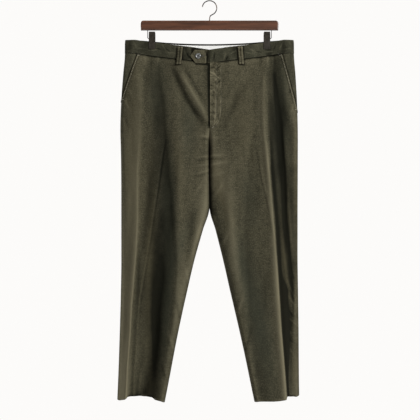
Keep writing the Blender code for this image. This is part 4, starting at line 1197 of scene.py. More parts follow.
# the pocket's edge is worn pale, and a painted shade lies along the row of stitches inside it
POCKET_WORN = (0.7, 0.0022)
POCKET_STITCH_SHADE = (0.9, 0.0020)
POCKET_SEWN_INSIDE = 0.0056
TAB_FOOT = -0.1848
TAB_FOOT_ENDS = (0.0390, 0.0430)
TAB_SHADE = (2.2, 0.0028)
FLY_TONE_END = -0.3700
OPENING_SHADE = {"right": (2.2, 0.0050), "left": (2.2, 0.0024)}
LAP_SHADE = (0.8, 0.0150)
LAP_SHADE_ENDS = (0.210, 0.310)
INSEAM_SHADE = {"right": 1.4, "left": 1.7}
INSEAM_SHADE_STARTS = (0.400, 0.440)
INSEAM_SHADE_ENDS = (0.600, 0.640)
# how far the shade reaches from the inseam, at distances below the hook
INSEAM_SHADE_REACH = {
    "right": ((0.520, 0.580), (0.0035, 0.0035)),
    "left": ((0.510, 0.550, 0.578), (0.0035, 0.0090, 0.0220)),
}
# below the fly the two fronts are sewn together, and a short stretch of painted light lies there
JOINED_STARTS = (0.358, 0.370)
JOINED_ENDS = (0.396, 0.408)
JOINED_PAINTED_LIGHT = (1.6, 0.0050)


def toned(distance, strength_and_reach, form=near):
    """Painted shade, highlight or wear of a strength and reach, at a distance from its middle or edge."""
    strength, reach = strength_and_reach
    return strength * form(distance, reach)


def front_tone(side, x, z, from_inner, from_outer, pocket):
    """The shades of loops, tab, opening and inseam on a front, and the worn edge of its pocket."""
    tone = -hollow_depths(FRONT_SHADES[side], x, z) / SUNK_UNIT
    beside_loop = np.maximum(np.abs(x - LOOP_SHADOW_X[side] - LOOP_SHADOW_SHIFT) - LOOP_SHADOW_HALF, 0.0)
    below_loop = np.maximum(LOOP_SHADOW_END - z, 0.0)
    tone -= toned(beside_loop, LOOP_SHADE) * near(below_loop, LOOP_SHADE_BELOW)
    wear_and_shade, worn_reach = POCKET_WORN
    edge_wear_and_shade = fading(from_outer, worn_reach) - toned(from_outer - POCKET_SEWN_INSIDE, POCKET_STITCH_SHADE)
    tone += np.where(pocket, wear_and_shade * edge_wear_and_shade, 0.0)
    tone -= np.where(z > FLY_TONE_END, toned(from_inner, OPENING_SHADE[side]), 0.0)
    if side == "right":
        tone -= toned(from_inner, LAP_SHADE) * (1 - ramp(-z, *LAP_SHADE_ENDS))
        tone -= toned(z - TAB_FOOT, TAB_SHADE) * (1 - ramp(x, *TAB_FOOT_ENDS))
    shaded = ramp(-z, *INSEAM_SHADE_STARTS) * (1 - ramp(-z, *INSEAM_SHADE_ENDS))
    tone -= INSEAM_SHADE[side] * shaded * fading(from_inner, np.interp(-z, *INSEAM_SHADE_REACH[side]))
    joined = ramp(-z, *JOINED_STARTS) * (1 - ramp(-z, *JOINED_ENDS))
    return tone + joined * toned(from_inner, JOINED_PAINTED_LIGHT, fading)


print("loops shade the cloth at", LOOP_SHADOW_X)

# %% Panel points
PANEL_ROWS = 320
HEM_STEP_TOP = -1.1160


def panel(face, side):
    """The outer points of a panel down to its hem, with their painted light and shade."""
    levels = np.linspace(WAIST_SEAM - GAP, HEM, PANEL_ROWS + 1)
    points, folds, inner, outer = [], [], [], []
    for level in levels:
        edge = pocket_edge(side, level) if face == "front" else None
        xs = panel_columns(face, side, level, edge)
        s = section(side, level)
        points.append(row_points(face, side, xs, level))
        folds.append(fold_height(face, side, xs, level) * (1 - pinch(face, xs, level)))
        inner.append(s["inner"])
        outer.append(edge or s["outer"])
    points, levels = np.array(points), levels[:, None]
    x, z = np.abs(points[:, :, 0]), points[:, :, 2]
    from_inner, from_outer = x - np.array(inner)[:, None], np.array(outer)[:, None] - x
    fine, tone = fine_heights(face, side, x, z)
    fade = ramp(from_inner, 0.0, SEAM_FADE) * ramp(from_outer, 0.0, SEAM_FADE)
    seed = 70 if face == "front" else 80
    pocket = levels > (POCKET_BOTTOM[side] if face == "front" else 0.0)
    below_band = levels[0] - levels + 0 * x
    sewn = seam_heights(from_inner, z, seed) * ramp(-z, *INSEAM_SEWN)
    sewn += np.where(pocket, 0.0, 1.0) * seam_heights(from_outer, z, seed + 1)
    sewn += seam_heights(below_band, x, seed + 2)
    points[:, :, 1] += FACES[face] * (fine * fade + sewn)
    points[:, :, 2] += hem_step(side, x) * (1 - ramp(levels, HEM, HEM_STEP_TOP))
    # painted light where folds, lines and seam ridges stand up, painted shade in hollows, seam dips and
    # under the band
    tone = tone * fade + np.array(folds) / FOLD_UNIT + sewn / SEWN_UNIT - toned(below_band, BAND_SHADE)
    if face == "front":
        tone += front_tone(side, x, z, from_inner, from_outer, pocket)
    # painted shade on a raised part of the hem, wear along the rest
    wear_and_shade = np.where(hem_step(side, x) > HEM_RAISED, HEM_SHADED, HEM_WORN)
    return points, tone + wear_and_shade * fading(levels - HEM, HEM_REACH)


print("rows in a panel", PANEL_ROWS + 1)

# %% Turned hem
HEM_TURN_UP = 0.035
HEM_TURN_STEPS = 4
HEM_TURN_RADIUS = 0.0018


def with_hem(points, relief, facing):
    """Extra rows that turn the hem round and up inside."""
    normal = np.cross(np.gradient(points, axis=1)[-1], np.gradient(points, axis=0)[-1])
    normal /= np.linalg.norm(normal, axis=1, keepdims=True)
    if normal[len(normal) // 2, 1] * facing < 0:
        normal = -normal
    down = np.array([0.0, 0.0, -1.0])
    rows = []
    for angle in np.linspace(0, math.pi, 2 * HEM_TURN_STEPS + 1)[1:]:
        rows.append(points[-1] - normal * HEM_TURN_RADIUS * (1 - math.cos(angle))
                    + down * HEM_TURN_RADIUS * math.sin(angle))
    step = (points[0, 0, 2] - points[-1, 0, 2]) / (len(points) - 1)
    for k in range(1, int(HEM_TURN_UP / step / 2) + 1):
        source = points[-1 - 2 * k]
        rows.append(source - normal * 2 * HEM_TURN_RADIUS)
    rows = np.array(rows)
    relief = np.concatenate([relief, np.zeros(rows.shape[:2])])
    return np.concatenate([points, rows]), relief


print("a hem turns up by", HEM_TURN_UP)

# %% Panels
panels = {}
for face, facing in FACES.items():
    for side in SIDES:
        points, relief = with_hem(*panel(face, side), facing)
        lean = dab_heights(PAINTED_TINTS[face][side], np.abs(points[:, :, 0]), points[:, :, 2], TINT_COLUMNS)
        piece = shell(f"cloth_{face}_{side}", points, facing, (cord_cloth, cord_reverse), relief=relief,
                      lean=lean, grain=grain_map(points, CAP_STEPS + INSIDE_STEPS), inner=1)
        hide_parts(f"{face}_panel_{side}")
        panels[face, side] = piece
print("panels", [p.name for p in panels.values()], PANEL_ROWS, "rows")

# %% [markdown]
# ## Pocket facings
# Behind each slanted pocket edge lies a facing of the same cloth. It starts under the front panel and comes
# out to the side seam, so the pocket reads as a slit with the same cloth on both sides.

# %% Pocket facings
FACING_UNDER = 0.0100
FACING_SHOWN = 0.0022
FACING_CLEAR = 0.0018
FACING_END = -0.0040
FACING_TONE = {"right": 0.05, "left": -0.22}
# a cooler tint painted over the whole facing
FACING_PAINTED_TINT = 0.5
FACING_EDGE_SHADE = (1.5, 0.0030)
FACING_CLOTH = 0.0012
FACING_COLUMNS = 20
FACING_ROWS = 48


def pocket_facing(side):
    """The points of a facing, sunk behind the cloth's surface, and their tone."""
    levels = np.linspace(WAIST_SEAM - GAP, POCKET_BOTTOM[side] + FACING_END, FACING_ROWS + 1)
    rows, sunk = [], []
    for level in levels:
        outer = section(side, level)["outer"]
        edge = pocket_edge(side, level) or outer
        shown = min(FACING_SHOWN, 0.3 * (outer - edge))
        covered = np.array([edge - FACING_UNDER, edge - FACING_UNDER / 2, edge, edge + shown])
        turn = np.sin(np.linspace(0, math.pi / 2, FACING_COLUMNS + 1))[1:]
        xs = np.concatenate([covered, covered[-1] + (outer - covered[-1]) * turn])
        rows.append(row_points("front", side, xs, level))
        sunk.append((CLOTH + FACING_CLEAR) * (1 - np.concatenate([np.zeros(4), turn])))
    points = np.array(rows)
    points[:, :, 1] += np.array(sunk)
    x, z = np.abs(points[:, :, 0]), points[:, :, 2]
    points[:, :, 1] -= 0.0004 * smooth_noise(x, z, 0.006, 0.030, 90)
    past_edge = x - x[:, 2:3]
    # the facing's tone with random unevenness; a painted shadow lies just past the panel's edge
    wear_and_shade = FACING_TONE[side] + 0.25 * smooth_noise(x, z, 0.007, 0.020, 92)
    return points, wear_and_shade - toned(past_edge, FACING_EDGE_SHADE)


for side in SIDES:
    points, tone = pocket_facing(side)
    piece = shell(f"facing_{side}", points, -1.0, (cord_cloth,), thickness=FACING_CLOTH, relief=tone,
                  lean=0 * tone + FACING_PAINTED_TINT)
    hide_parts(f"pocket_facing_{side}")
print("pocket facings", FACING_ROWS, "rows")

# %% [markdown]
# ## Waistband
# The waistband is a doubled strip with a stiff inside. It sags between the clips, more in front than
# behind. Its inside is faced with white lining, which shows behind the front edge.

# %% Waistband creases
# drawn like the short creases of the panels
BAND_DABS = {
    ("front", "right"): (
        (214, -130, 7, 1.6, 60, 0.8), (200, -138, 12, 1.6, 4, 0.7), (160, -142, 11, 1.8, -6, 1),
        (146, -139, 9, 1.6, 14, -0.8), (134, -131, 9, 1.6, 60, 0.9), (120, -143, 10, 1.6, 40, -0.9),
        (112, -150, 10, 1.6, 10, 0.8), (72, -150, 8, 1.6, 74, 0.8), (62, -160, 8, 1.6, 60, -0.8),
        (232, -146, 10, 1.4, 0, 0.6),
    ),
    ("front", "left"): (
        (14, -160, 12, 1.8, 80, -1), (44, -163, 8, 1.8, 70, 1), (50, -168, 8, 1.6, 60, -0.8),
        (66, -152, 9, 1.6, 30, 0.9), (112, -151, 10, 1.6, -10, 0.9), (126, -144, 10, 1.6, -24, 0.8),
        (142, -147, 10, 1.6, -8, -0.9), (172, -147, 10, 1.8, 6, 1.1), (188, -137, 10, 1.6, 74, -0.8),
        (206, -132, 10, 1.6, 66, 0.9), (224, -140, 10, 1.4, 10, 0.7),
    ),
    ("back", "right"): (
        (160, -138, 11, 1.8, -6, 1), (96, -142, 10, 1.6, 50, -0.8), (50, -144, 10, 1.6, 20, 0.8),
        (210, -134, 10, 1.6, 60, 0.8),
    ),
    ("back", "left"): (
        (172, -138, 11, 1.8, 8, 1), (84, -146, 10, 1.6, -40, 0.8), (30, -140, 10, 1.6, -14, -0.8),
        (204, -132, 10, 1.6, 66, -0.8),
    ),
}
print(sum(len(creases) for creases in BAND_DABS.values()), "creases on the waistband")

# %% Waistband points
BAND_ROWS = 24
BAND_SIDE_REACH = 0.0060
BAND_TONE = -0.34
BAND_UNEVEN_UNIT = 0.0014
BAND_CREASE_UNIT = 0.0026
BAND_SEEDS = {("front", "right"): 20, ("front", "left"): 21, ("back", "right"): 24, ("back", "left"): 25}
# tone and reach at the top edge: paler in front, painted shade behind
BAND_TOP_TONE = {"front": (0.4, 0.0020), "back": (-1.4, 0.0045)}
BAND_SEAM_WORN = (0.3, 0.0014)
BAND_LOOP_SHADE = (0.9, 0.0022)
BAND_LOOP_HALF = 0.0080
BAND_TAB_SHADE = (1.1, 0.0030)
BAND_TAB_SHADE_STARTS = 0.0040
TAB_SHADOW_X = 0.0500


def band_half(face, side):
    """The outer points of half of the waistband, and their tone."""
    reach = section(side, WAIST_SEAM)["outer"] + BAND_PROUD
    xs = panel_columns(face, side, WAIST_SEAM)
    xs = xs * (reach / xs[-1])
    rows = []
    for level in np.linspace(BAND_TOP, WAIST_SEAM, BAND_ROWS + 1):
        outer = section(side, level)["outer"] + BAND_PROUD
        shift = (outer - reach) * ramp(xs, CLIP_X + CLIP_FLAT, reach - BAND_SIDE_REACH)
        rows.append(row_points(face, side, xs + shift, level, BAND_PROUD))
    points = np.array(rows)
    x, z = np.abs(points[:, :, 0]), points[:, :, 2]
    seed = BAND_SEEDS[face, side]
    creases = dab_heights(BAND_DABS[face, side], x, z)
    uneven = 0.0007 * smooth_noise(x, z, 0.020, 0.050, seed)
    uneven += 0.0004 * smooth_noise(x, z, 0.009, 0.016, seed + 4) + creases
    points[:, :, 1] += FACES[face] * uneven * (1 - pinch(face, x, WAIST_SEAM) ** 2)
    below_top = np.linspace(0, BAND_HEIGHT, BAND_ROWS + 1)[:, None] + 0 * x
    # painted light where creases and unevenness stand up, painted shade in their dips
    tone = BAND_TONE + uneven / BAND_UNEVEN_UNIT + creases / BAND_CREASE_UNIT
    tone += toned(below_top, BAND_TOP_TONE[face], fading)
    tone += toned(BAND_HEIGHT - below_top, BAND_SEAM_WORN, fading)
    if face == "front":
        tone -= toned(np.abs(x - LOOP_SHADOW_X[side]) - BAND_LOOP_HALF, BAND_LOOP_SHADE)
    if (face, side) == ("front", "right"):
        under_tab = toned(np.maximum(x - TAB_SHADOW_X, 0.0), BAND_TAB_SHADE)
        tone -= under_tab * ramp(below_top, 0.0, BAND_TAB_SHADE_STARTS)
    return points, tone


print("rows in the waistband", BAND_ROWS + 1)

# %% Waistband
BAND_CLOTH = 0.0024
# a cooler tint painted over the whole waistband
BAND_PAINTED_TINT = 0.7
LINING_CLOTH = 0.0010
LINING_REACH = 0.2260
LINING_FIRST_ROW = 3

bands = {}
for side in SIDES:
    points, tone = band_half("front", side)
    piece = shell(f"band_front_{side}", points, -1.0, (cord_cloth, white_lining), thickness=BAND_CLOTH,
                  relief=tone, lean=0 * tone + BAND_PAINTED_TINT, rounded=0.0007, inner=1)
    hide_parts(f"waistband_front_{side}")
    bands[side] = piece
(back_right, tone_right), (back_left, tone_left) = band_half("back", "right"), band_half("back", "left")
whole_back = np.concatenate([back_right[:, :0:-1], back_left[:, 1:]], axis=1)
whole_tone = np.concatenate([tone_right[:, :0:-1], tone_left[:, 1:]], axis=1)
bands["back"] = shell("band_back", whole_back, 1.0, (cord_cloth,), thickness=BAND_CLOTH, relief=whole_tone,
                      lean=0 * whole_tone + BAND_PAINTED_TINT, rounded=0.0007)
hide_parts("waistband_back")

keep = np.abs(whole_back[0, :, 0]) < LINING_REACH
inside = whole_back[LINING_FIRST_ROW:, keep] - np.array([0.0, BAND_CLOTH + GAP, 0.0])
lining = shell("band_lining", inside, 1.0, (white_lining,), thickness=LINING_CLOTH, rounded=0.0003)
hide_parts("waistband_lining")
skin_front = outer_skin([panels["front", s] for s in SIDES] + [bands[s] for s in SIDES])
skin_back = outer_skin([panels["back", s] for s in SIDES] + [bands["back"]])
print("waistband pieces", len(bands), "and a lining")

# %% [markdown]
# ## Things that lie on the front
# The fly, the tab, the loops and the stitches all lie on the cloth under them, so each one asks the
# finished cloth where it is and then stands a little out of it. That keeps them seated when a fold changes.

# %% Laying a piece on the cloth
def laid_grid(places, rises, tree, facing):
    """Points that stand rises out of the cloth at a grid of (x, z) places."""
    rows = []
    for row, up in zip(places, rises):
        rows.append([(x, seat_at(tree, x, z, facing) + facing * lift, z) for (x, z), lift in zip(row, up)])
    return np.array(rows)


def flat_grain(points, turn=0.0):
    """A grain map read straight from the front, turned by an angle."""
    x, z = points[:, :, 0], -points[:, :, 2]
    c, s = math.cos(turn), math.sin(turn)
    return np.stack([x * c + z * s, z * c - x * s], axis=2)


print("seat of the fly's top", round(seat_at(skin_front, 0.010, -0.190, FACES["front"]), 4))

# %% Threads and stitches
def thread_material(name, light, dark):
    """Twisted thread, a little paler and darker along its length."""
    n = Nodes(name)
    place = n.add("ShaderNodeTexCoord").outputs["Object"]
    twist = n.noise(place, 1500.0, 2.0)
    return n.set(Base_Color=n.blend(twist, dark, light), Normal=n.bump(twist, 0.0001, 0.5), Roughness=0.6,
                 Sheen_Weight=0.2)


olive_thread = thread_material("olive_thread", rgb(0.085, 0.077, 0.052), rgb(0.050, 0.046, 0.031))
dark_thread = thread_material("dark_thread", rgb(0.040, 0.036, 0.024), rgb(0.020, 0.018, 0.012))
worn_thread = thread_material("worn_thread", rgb(0.200, 0.185, 0.130), rgb(0.120, 0.110, 0.080))
pale_thread = thread_material("pale_thread", rgb(0.48, 0.44, 0.33), rgb(0.32, 0.29, 0.21))

STITCH_LIFT = 0.0001
STITCH_SEAT_REACH = 0.0003


def stitches(name, runs, tree, facing, material, length=0.0024, thick=0.00032):
    """One mesh of small thread ellipsoids. runs holds (x, z, angle in degrees) for each stitch."""
    bm = bmesh.new()
    for x, z, angle in runs:
        made = bmesh.ops.create_icosphere(bm, subdivisions=1, radius=1.0)["verts"]
        bmesh.ops.scale(bm, verts=made, vec=(length / 2, thick, thick))
        turn = Matrix.Rotation(-math.radians(angle), 4, "Y")
        bmesh.ops.transform(bm, matrix=turn, verts=made)
        y = seat_at(tree, x, z, facing, STITCH_SEAT_REACH) + facing * STITCH_LIFT
        bmesh.ops.translate(bm, verts=made, vec=(x, y, z))
    bmesh.ops.recalc_face_normals(bm, faces=bm.faces)
    return piece_from(bm, name, (material,))


def along(points, spacing):
    """Evenly spaced (x, z, angle) places on a polyline of (x, z) points."""
    points = np.array(points)
    steps = np.linalg.norm(np.diff(points, axis=0), axis=1)
    run = np.concatenate([[0], np.cumsum(steps)])
    places = []
    for at in np.arange(spacing / 2, run[-1], spacing):
        x, z = np.interp(at, run, points[:, 0]), np.interp(at, run, points[:, 1])
        i = min(int(np.searchsorted(run, at)) - 1, len(steps) - 1)
        dx, dz = points[i + 1] - points[i]
        places.append((x, z, math.degrees(math.atan2(dz, dx))))
    return places


print("threads", [thread.name for thread in (olive_thread, dark_thread, worn_thread, pale_thread)])

# %% [markdown]
# ## Fly
# The left front laps over the right one at the centre, and the facing sewn behind it makes a raised strip
# that ends in a curved line of stitches. The stitches draw the cloth in, so the strip is puckered all the
# way along both edges.

# %% Fly sizes
FLY_TOP = -0.1805
FLY_EDGE = 0.0017
FLY_WIDTH = 0.0350
FLY_END = 0.0060
FLY_BOTTOM = -0.3690
FLY_CURVE_TOP = -0.3120
FLY_EDGE_RISE = 0.0026
FLY_RISE = 0.0013
FLY_CLOTH = 0.0012
FLY_COLUMNS = 26
FLY_ROWS = 110
# the second and the outer row of stitches, as shares of the strip's width
FLY_SECOND_ROW = 0.58
FLY_OUTER_ROW = 0.97
FLY_ROW_WIDTH = 0.05
FLY_ROW_DIP = 0.0006
# painted highlights along lines where the stitches draw the cloth up
CREASE_COLUMNS = ("z", "x", "strength")
FLY_CREASE_HIGHLIGHTS = (
    ((-190, 10, 0.2), (-240, 14, 0.4), (-290, 17.5, 0.8), (-340, 16, 1.0), (-369, 12, 0.5)),
    ((-200, 30, 0.0), (-260, 33, 0.1), (-320, 32.5, 0.8), (-345, 29, 0.9), (-369, 18, 0.7)),
)
# crinkles near the top, like the short creases of the panels
FLY_DABS = (
    (9, -212, 8.5, 2.2, -24, 1.9), (4, -218, 5, 1.6, -14, 1.3), (6, -226, 6, 1.4, 10, 1),
    (10.5, -194.5, 6, 2.2, 10, -0.8), (24, -196, 7, 2.2, 35, -0.8), (19, -229.5, 8, 1.4, 42, 1.4),
    (24, -223.5, 8, 1.4, -36, 0.9), (27, -236, 7, 2, 60, -0.6), (6, -248, 5, 1.6, -12, -0.6),
    (7, -262, 6, 1.6, 16, 0.9), (6, -276, 5, 1.8, -8, -0.6), (8, -302, 6, 1.8, 20, -0.6),
    (22, -250, 8, 1.8, 76, 0.9), (18, -354, 8, 1.6, 52, 1),
)


def fly_width(z):
    """How far the strip reaches from the centre line at a height."""
    bend = max(0.0, (FLY_CURVE_TOP - z) / (FLY_CURVE_TOP - FLY_BOTTOM))
    return FLY_END + (FLY_WIDTH - FLY_END) * math.sqrt(max(0.0, 1 - bend * bend))


print("fly", FLY_WIDTH, "wide and", round(FLY_TOP - FLY_BOTTOM, 4), "long")

# %% Fly
places, shares = [], np.linspace(0, 1, FLY_COLUMNS + 1)
for z in np.linspace(FLY_TOP, FLY_BOTTOM, FLY_ROWS + 1):
    places.append([(FLY_EDGE + (fly_width(z) - FLY_EDGE) * share, z) for share in shares])
places = np.array(places)
x, z = places[:, :, 0], places[:, :, 1]
across = np.repeat(shares[None], FLY_ROWS + 1, axis=0)
# the strip stands proud at its edge, thins out to its far side and flattens at its foot
rise = FLY_RISE * (1 - ramp(across, 0.86, 1.0))
rise += (FLY_EDGE_RISE - FLY_RISE) * fading(x - FLY_EDGE, 0.005)
rise -= 0.0003 * ramp(across, 0.94, 1.0)
rise *= 1 - 0.75 * ramp(-z, -FLY_BOTTOM - 0.012, -FLY_BOTTOM)
for row in (FLY_SECOND_ROW, FLY_OUTER_ROW):
    rise -= FLY_ROW_DIP * near(across - row, FLY_ROW_WIDTH)
crinkles = dab_heights(FLY_DABS, x, z)
# puckers at the edge, along the second row, along the outer row and at the top
puckers = 0.0009 * smooth_noise(z, x * 0.5, 0.0050, 0.010, 201) * fading(x, 0.006)
puckers += 0.0011 * smooth_noise(z + 0.9 * x, x - 0.3 * z, 0.0048, 0.009, 202) * near(across - 0.40, 0.22)
puckers += 0.0010 * smooth_noise(z - 1.1 * x, x + 0.3 * z, 0.0052, 0.010, 203) * near(across - 0.86, 0.20)
puckers += 0.0008 * smooth_noise(z * 1.2, x, 0.0060, 0.009, 204) * ramp(z, -0.235, -0.190)
puckers += 0.6 * crinkles
points = laid_grid(places, rise + puckers, skin_front, FACES["front"])
# painted light on the proud edge, along the creases and where puckers and crinkles stand up, painted shade
# in their dips
relief = 0.10 + puckers / 0.0014 + 0.9 * fading(x - FLY_EDGE, 0.0018) + 1.2 * crinkles / 0.0010
for crease in FLY_CREASE_HIGHLIGHTS:
    at, _ = read_down(crease, CREASE_COLUMNS, z)
    relief += 1.3 * at["strength"] * near(x - at["x"], 0.0020)
fly = shell("fly", points, -1.0, (cord_cloth,), thickness=FLY_CLOTH, relief=relief,
            grain=flat_grain(points))
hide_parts("fly_placket")
skin_fly = outer_skin([panels["front", s] for s in SIDES] + [bands[s] for s in SIDES] + [fly])
print("fly", points.shape)

# %% Fly stitches
FLY_SEWN_TOP = -0.188
FLY_SECOND_END = -0.335
FLY_STITCH_SPACING = 0.0032

outline = [(fly_width(z) * FLY_OUTER_ROW, z) for z in np.linspace(FLY_SEWN_TOP, FLY_BOTTOM + 0.001, 60)]
second = [(fly_width(z) * FLY_SECOND_ROW, z) for z in np.linspace(FLY_SEWN_TOP, FLY_SECOND_END, 40)]
runs = along(outline, FLY_STITCH_SPACING) + along(second, FLY_STITCH_SPACING)
fly_stitches = stitches("fly_stitches", runs, skin_fly, -1.0, olive_thread)
tack = [(0.0060 + 0.0009 * i, -0.3700 + 0.0004 * i, 75) for i in range(8)]
fly_tack = stitches("fly_tack", tack, skin_fly, -1.0, worn_thread, length=0.0034, thick=0.0004)
print("fly stitches", len(runs))

# %% [markdown]
# ## Tab, button and belt loops
# The left waistband ends in a pointed tab that buttons over the right one. Belt loops are narrow strips,
# folded so that a groove runs down the middle, and turned under at both ends.

# %% Tab
TAB_TOP = -0.1446
TAB_BOTTOM = -0.1832
TAB_SHOULDER_X = -0.0398
TAB_TIP_X = -0.0555
TAB_WIDEST = 0.45
TAB_RISE = 0.0036
TAB_CLOTH = 0.0024
TAB_ROWS = 20
TAB_COLUMNS = 32
TAB_EDGE_HIGHLIGHT = (0.7, 0.0012)
TAB_ROOT_SHADE = 1.1
TAB_ROOT_ENDS = (0.0060, 0.0105)
# a painted highlight along a crease in the lower half, where the tab bends
TAB_BEND_X = 0.0110
TAB_BEND_HIGHLIGHT = (0.9, 0.0018)
TAB_BEND_STARTS = (0.162, 0.168)
# the tab's own bend, drawn like the long lines
TAB_BEND = (((-140, 15.5, -1, 2.5, 2.5), (-163, 7, -1.8, 2.5, 2), (-186, 9, -1.4, 2.5, 2.5)),)

places = []
for share in np.linspace(0, 1, TAB_ROWS + 1):
    z = TAB_TOP + (TAB_BOTTOM - TAB_TOP) * share
    to_tip = 1 - abs(share - TAB_WIDEST) / (1 - TAB_WIDEST)
    end = TAB_SHOULDER_X + (TAB_TIP_X - TAB_SHOULDER_X) * to_tip
    places.append([(x, z) for x in np.linspace(0.0, end, TAB_COLUMNS + 1)])
places = np.array(places)
x, z = np.abs(places[:, :, 0]), places[:, :, 1]
rise = TAB_RISE + line_heights(TAB_BEND, x, z) + 0.0003 * smooth_noise(x, z, 0.007, 0.012, 210)
points = laid_grid(places, rise, skin_front, -1.0)
tab_edge = np.minimum(np.abs(places[:, -1:, 0]) - x, np.minimum(TAB_TOP - z, z - TAB_BOTTOM))
# painted light where the bend stands up and along the edges, painted shade where it dips and at the root
tone = 0.2 + (rise - TAB_RISE) / 0.0015 + toned(tab_edge, TAB_EDGE_HIGHLIGHT, fading)
tone -= TAB_ROOT_SHADE * (1 - ramp(x, *TAB_ROOT_ENDS))
tone += toned(x - TAB_BEND_X, TAB_BEND_HIGHLIGHT) * ramp(-z, *TAB_BEND_STARTS)
tab = shell("tab", points, -1.0, (cord_cloth,), thickness=TAB_CLOTH, relief=tone,
            grain=flat_grain(points, math.radians(2)), rounded=0.0010)
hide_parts("extension_tab")
skin_tab = outer_skin([tab])
print("tab", points.shape)

# %% Button
BUTTON_CENTRE = (-0.0326, -0.1624)
# radius, height above the tab
BUTTON_PROFILE = (
    (0.0000, 0.0004), (0.0058, 0.0004), (0.0074, 0.0009), (0.0080, 0.0016), (0.0078, 0.0023),
    (0.0071, 0.0028), (0.0063, 0.0028), (0.0056, 0.0024), (0.0047, 0.0018), (0.0000, 0.0016),
)
BUTTON_STEPS = 40
BUTTON_SEAT_REACH = 0.006


def pearl():
    """Grey shell with a faint swirl and a thin gloss."""
    n = Nodes("grey_pearl")
    place = n.add("ShaderNodeTexCoord").outputs["Object"]
    swirl = n.noise(n.stretched(place, (180, 180, 420)), 1.0, 4.0)
    shade = n.blend(n.spread(swirl, 0.35, 0.65), rgb(0.06, 0.06, 0.057), rgb(0.20, 0.205, 0.20))
    return n.set(Base_Color=shade, Roughness=0.28, Coat_Weight=0.5, Coat_Roughness=0.15)


centre_x, centre_z = BUTTON_CENTRE
beside = (-BUTTON_SEAT_REACH, 0, BUTTON_SEAT_REACH)
button_seat = min(seat_at(skin_tab, centre_x + dx, centre_z + dz, -1.0) for dx in beside for dz in beside)
bm = bmesh.new()
verts = [bm.verts.new((radius, -height, 0)) for radius, height in BUTTON_PROFILE]
edges = [bm.edges.new(pair) for pair in zip(verts, verts[1:])]
bmesh.ops.spin(bm, geom=verts + edges, cent=(0, 0, 0), axis=(0, 1, 0), angle=math.tau, steps=BUTTON_STEPS,
               use_merge=True)
bmesh.ops.remove_doubles(bm, verts=bm.verts, dist=1e-6)
bmesh.ops.recalc_face_normals(bm, faces=bm.faces)
bmesh.ops.translate(bm, verts=bm.verts, vec=(centre_x, button_seat, centre_z))
button = piece_from(bm, "button", (pearl(),))
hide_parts("waist_button")
print("button at", BUTTON_CENTRE)

# %% Holes, thread and buttonhole
HOLE_APART = 0.0013
HOLE_RADIUS = 0.0010
HOLE_LIFT = 0.00185
THREAD_LENGTH = 0.0040
THREAD_LIFT = 0.0021
SLIT_START = -0.0240
SLIT_STEP = 0.00065
SLIT_HALF = 0.0009
SLIT_STITCHES = 15

# dark discs painted in the button's holes as the shade inside them
painted_hole_shade = Nodes("buttonhole_shadow").set(Base_Color=rgb(0.012, 0.011, 0.009), Roughness=0.9)
bm = bmesh.new()
for sx in (-1, 1):
    for sz in (-1, 1):
        made = bmesh.ops.create_circle(bm, cap_ends=True, segments=14, radius=HOLE_RADIUS)["verts"]
        bmesh.ops.rotate(bm, verts=made, cent=(0, 0, 0), matrix=Matrix.Rotation(math.radians(90), 3, "X"))
        place = (centre_x + sx * HOLE_APART, button_seat - HOLE_LIFT, centre_z + sz * HOLE_APART)
        bmesh.ops.translate(bm, verts=made, vec=place)
piece_from(bm, "button_holes", (painted_hole_shade,))
bm = bmesh.new()
for turn in (45, -45):
    made = bmesh.ops.create_icosphere(bm, subdivisions=2, radius=1.0)["verts"]
    bmesh.ops.scale(bm, verts=made, vec=(THREAD_LENGTH / 2, 0.0004, 0.00045))
    bmesh.ops.rotate(bm, verts=made, cent=(0, 0, 0), matrix=Matrix.Rotation(math.radians(turn), 3, "Y"))
    bmesh.ops.translate(bm, verts=made, vec=(centre_x, button_seat - THREAD_LIFT, centre_z))
bmesh.ops.recalc_face_normals(bm, faces=bm.faces)
piece_from(bm, "button_thread", (dark_thread,))

slit = [(SLIT_START + SLIT_STEP * i, centre_z + row * SLIT_HALF, 90)
        for i in range(SLIT_STITCHES) for row in (-1, 1)]
buttonhole = stitches("buttonhole", slit, skin_tab, -1.0, dark_thread, length=0.0018, thick=0.00035)
print("stitches round the buttonhole", len(slit))

# %% Belt loops
LOOP_WIDTH = 0.0150
LOOP_LENGTH = 0.0500
LOOP_RISE = 0.0036
LOOP_GROOVE = 0.0016
LOOP_END = 0.0060
LOOP_END_RISE = 0.0010
LOOP_CLOTH = 0.0020
LOOP_COLUMNS = 14
LOOP_ROWS = 30
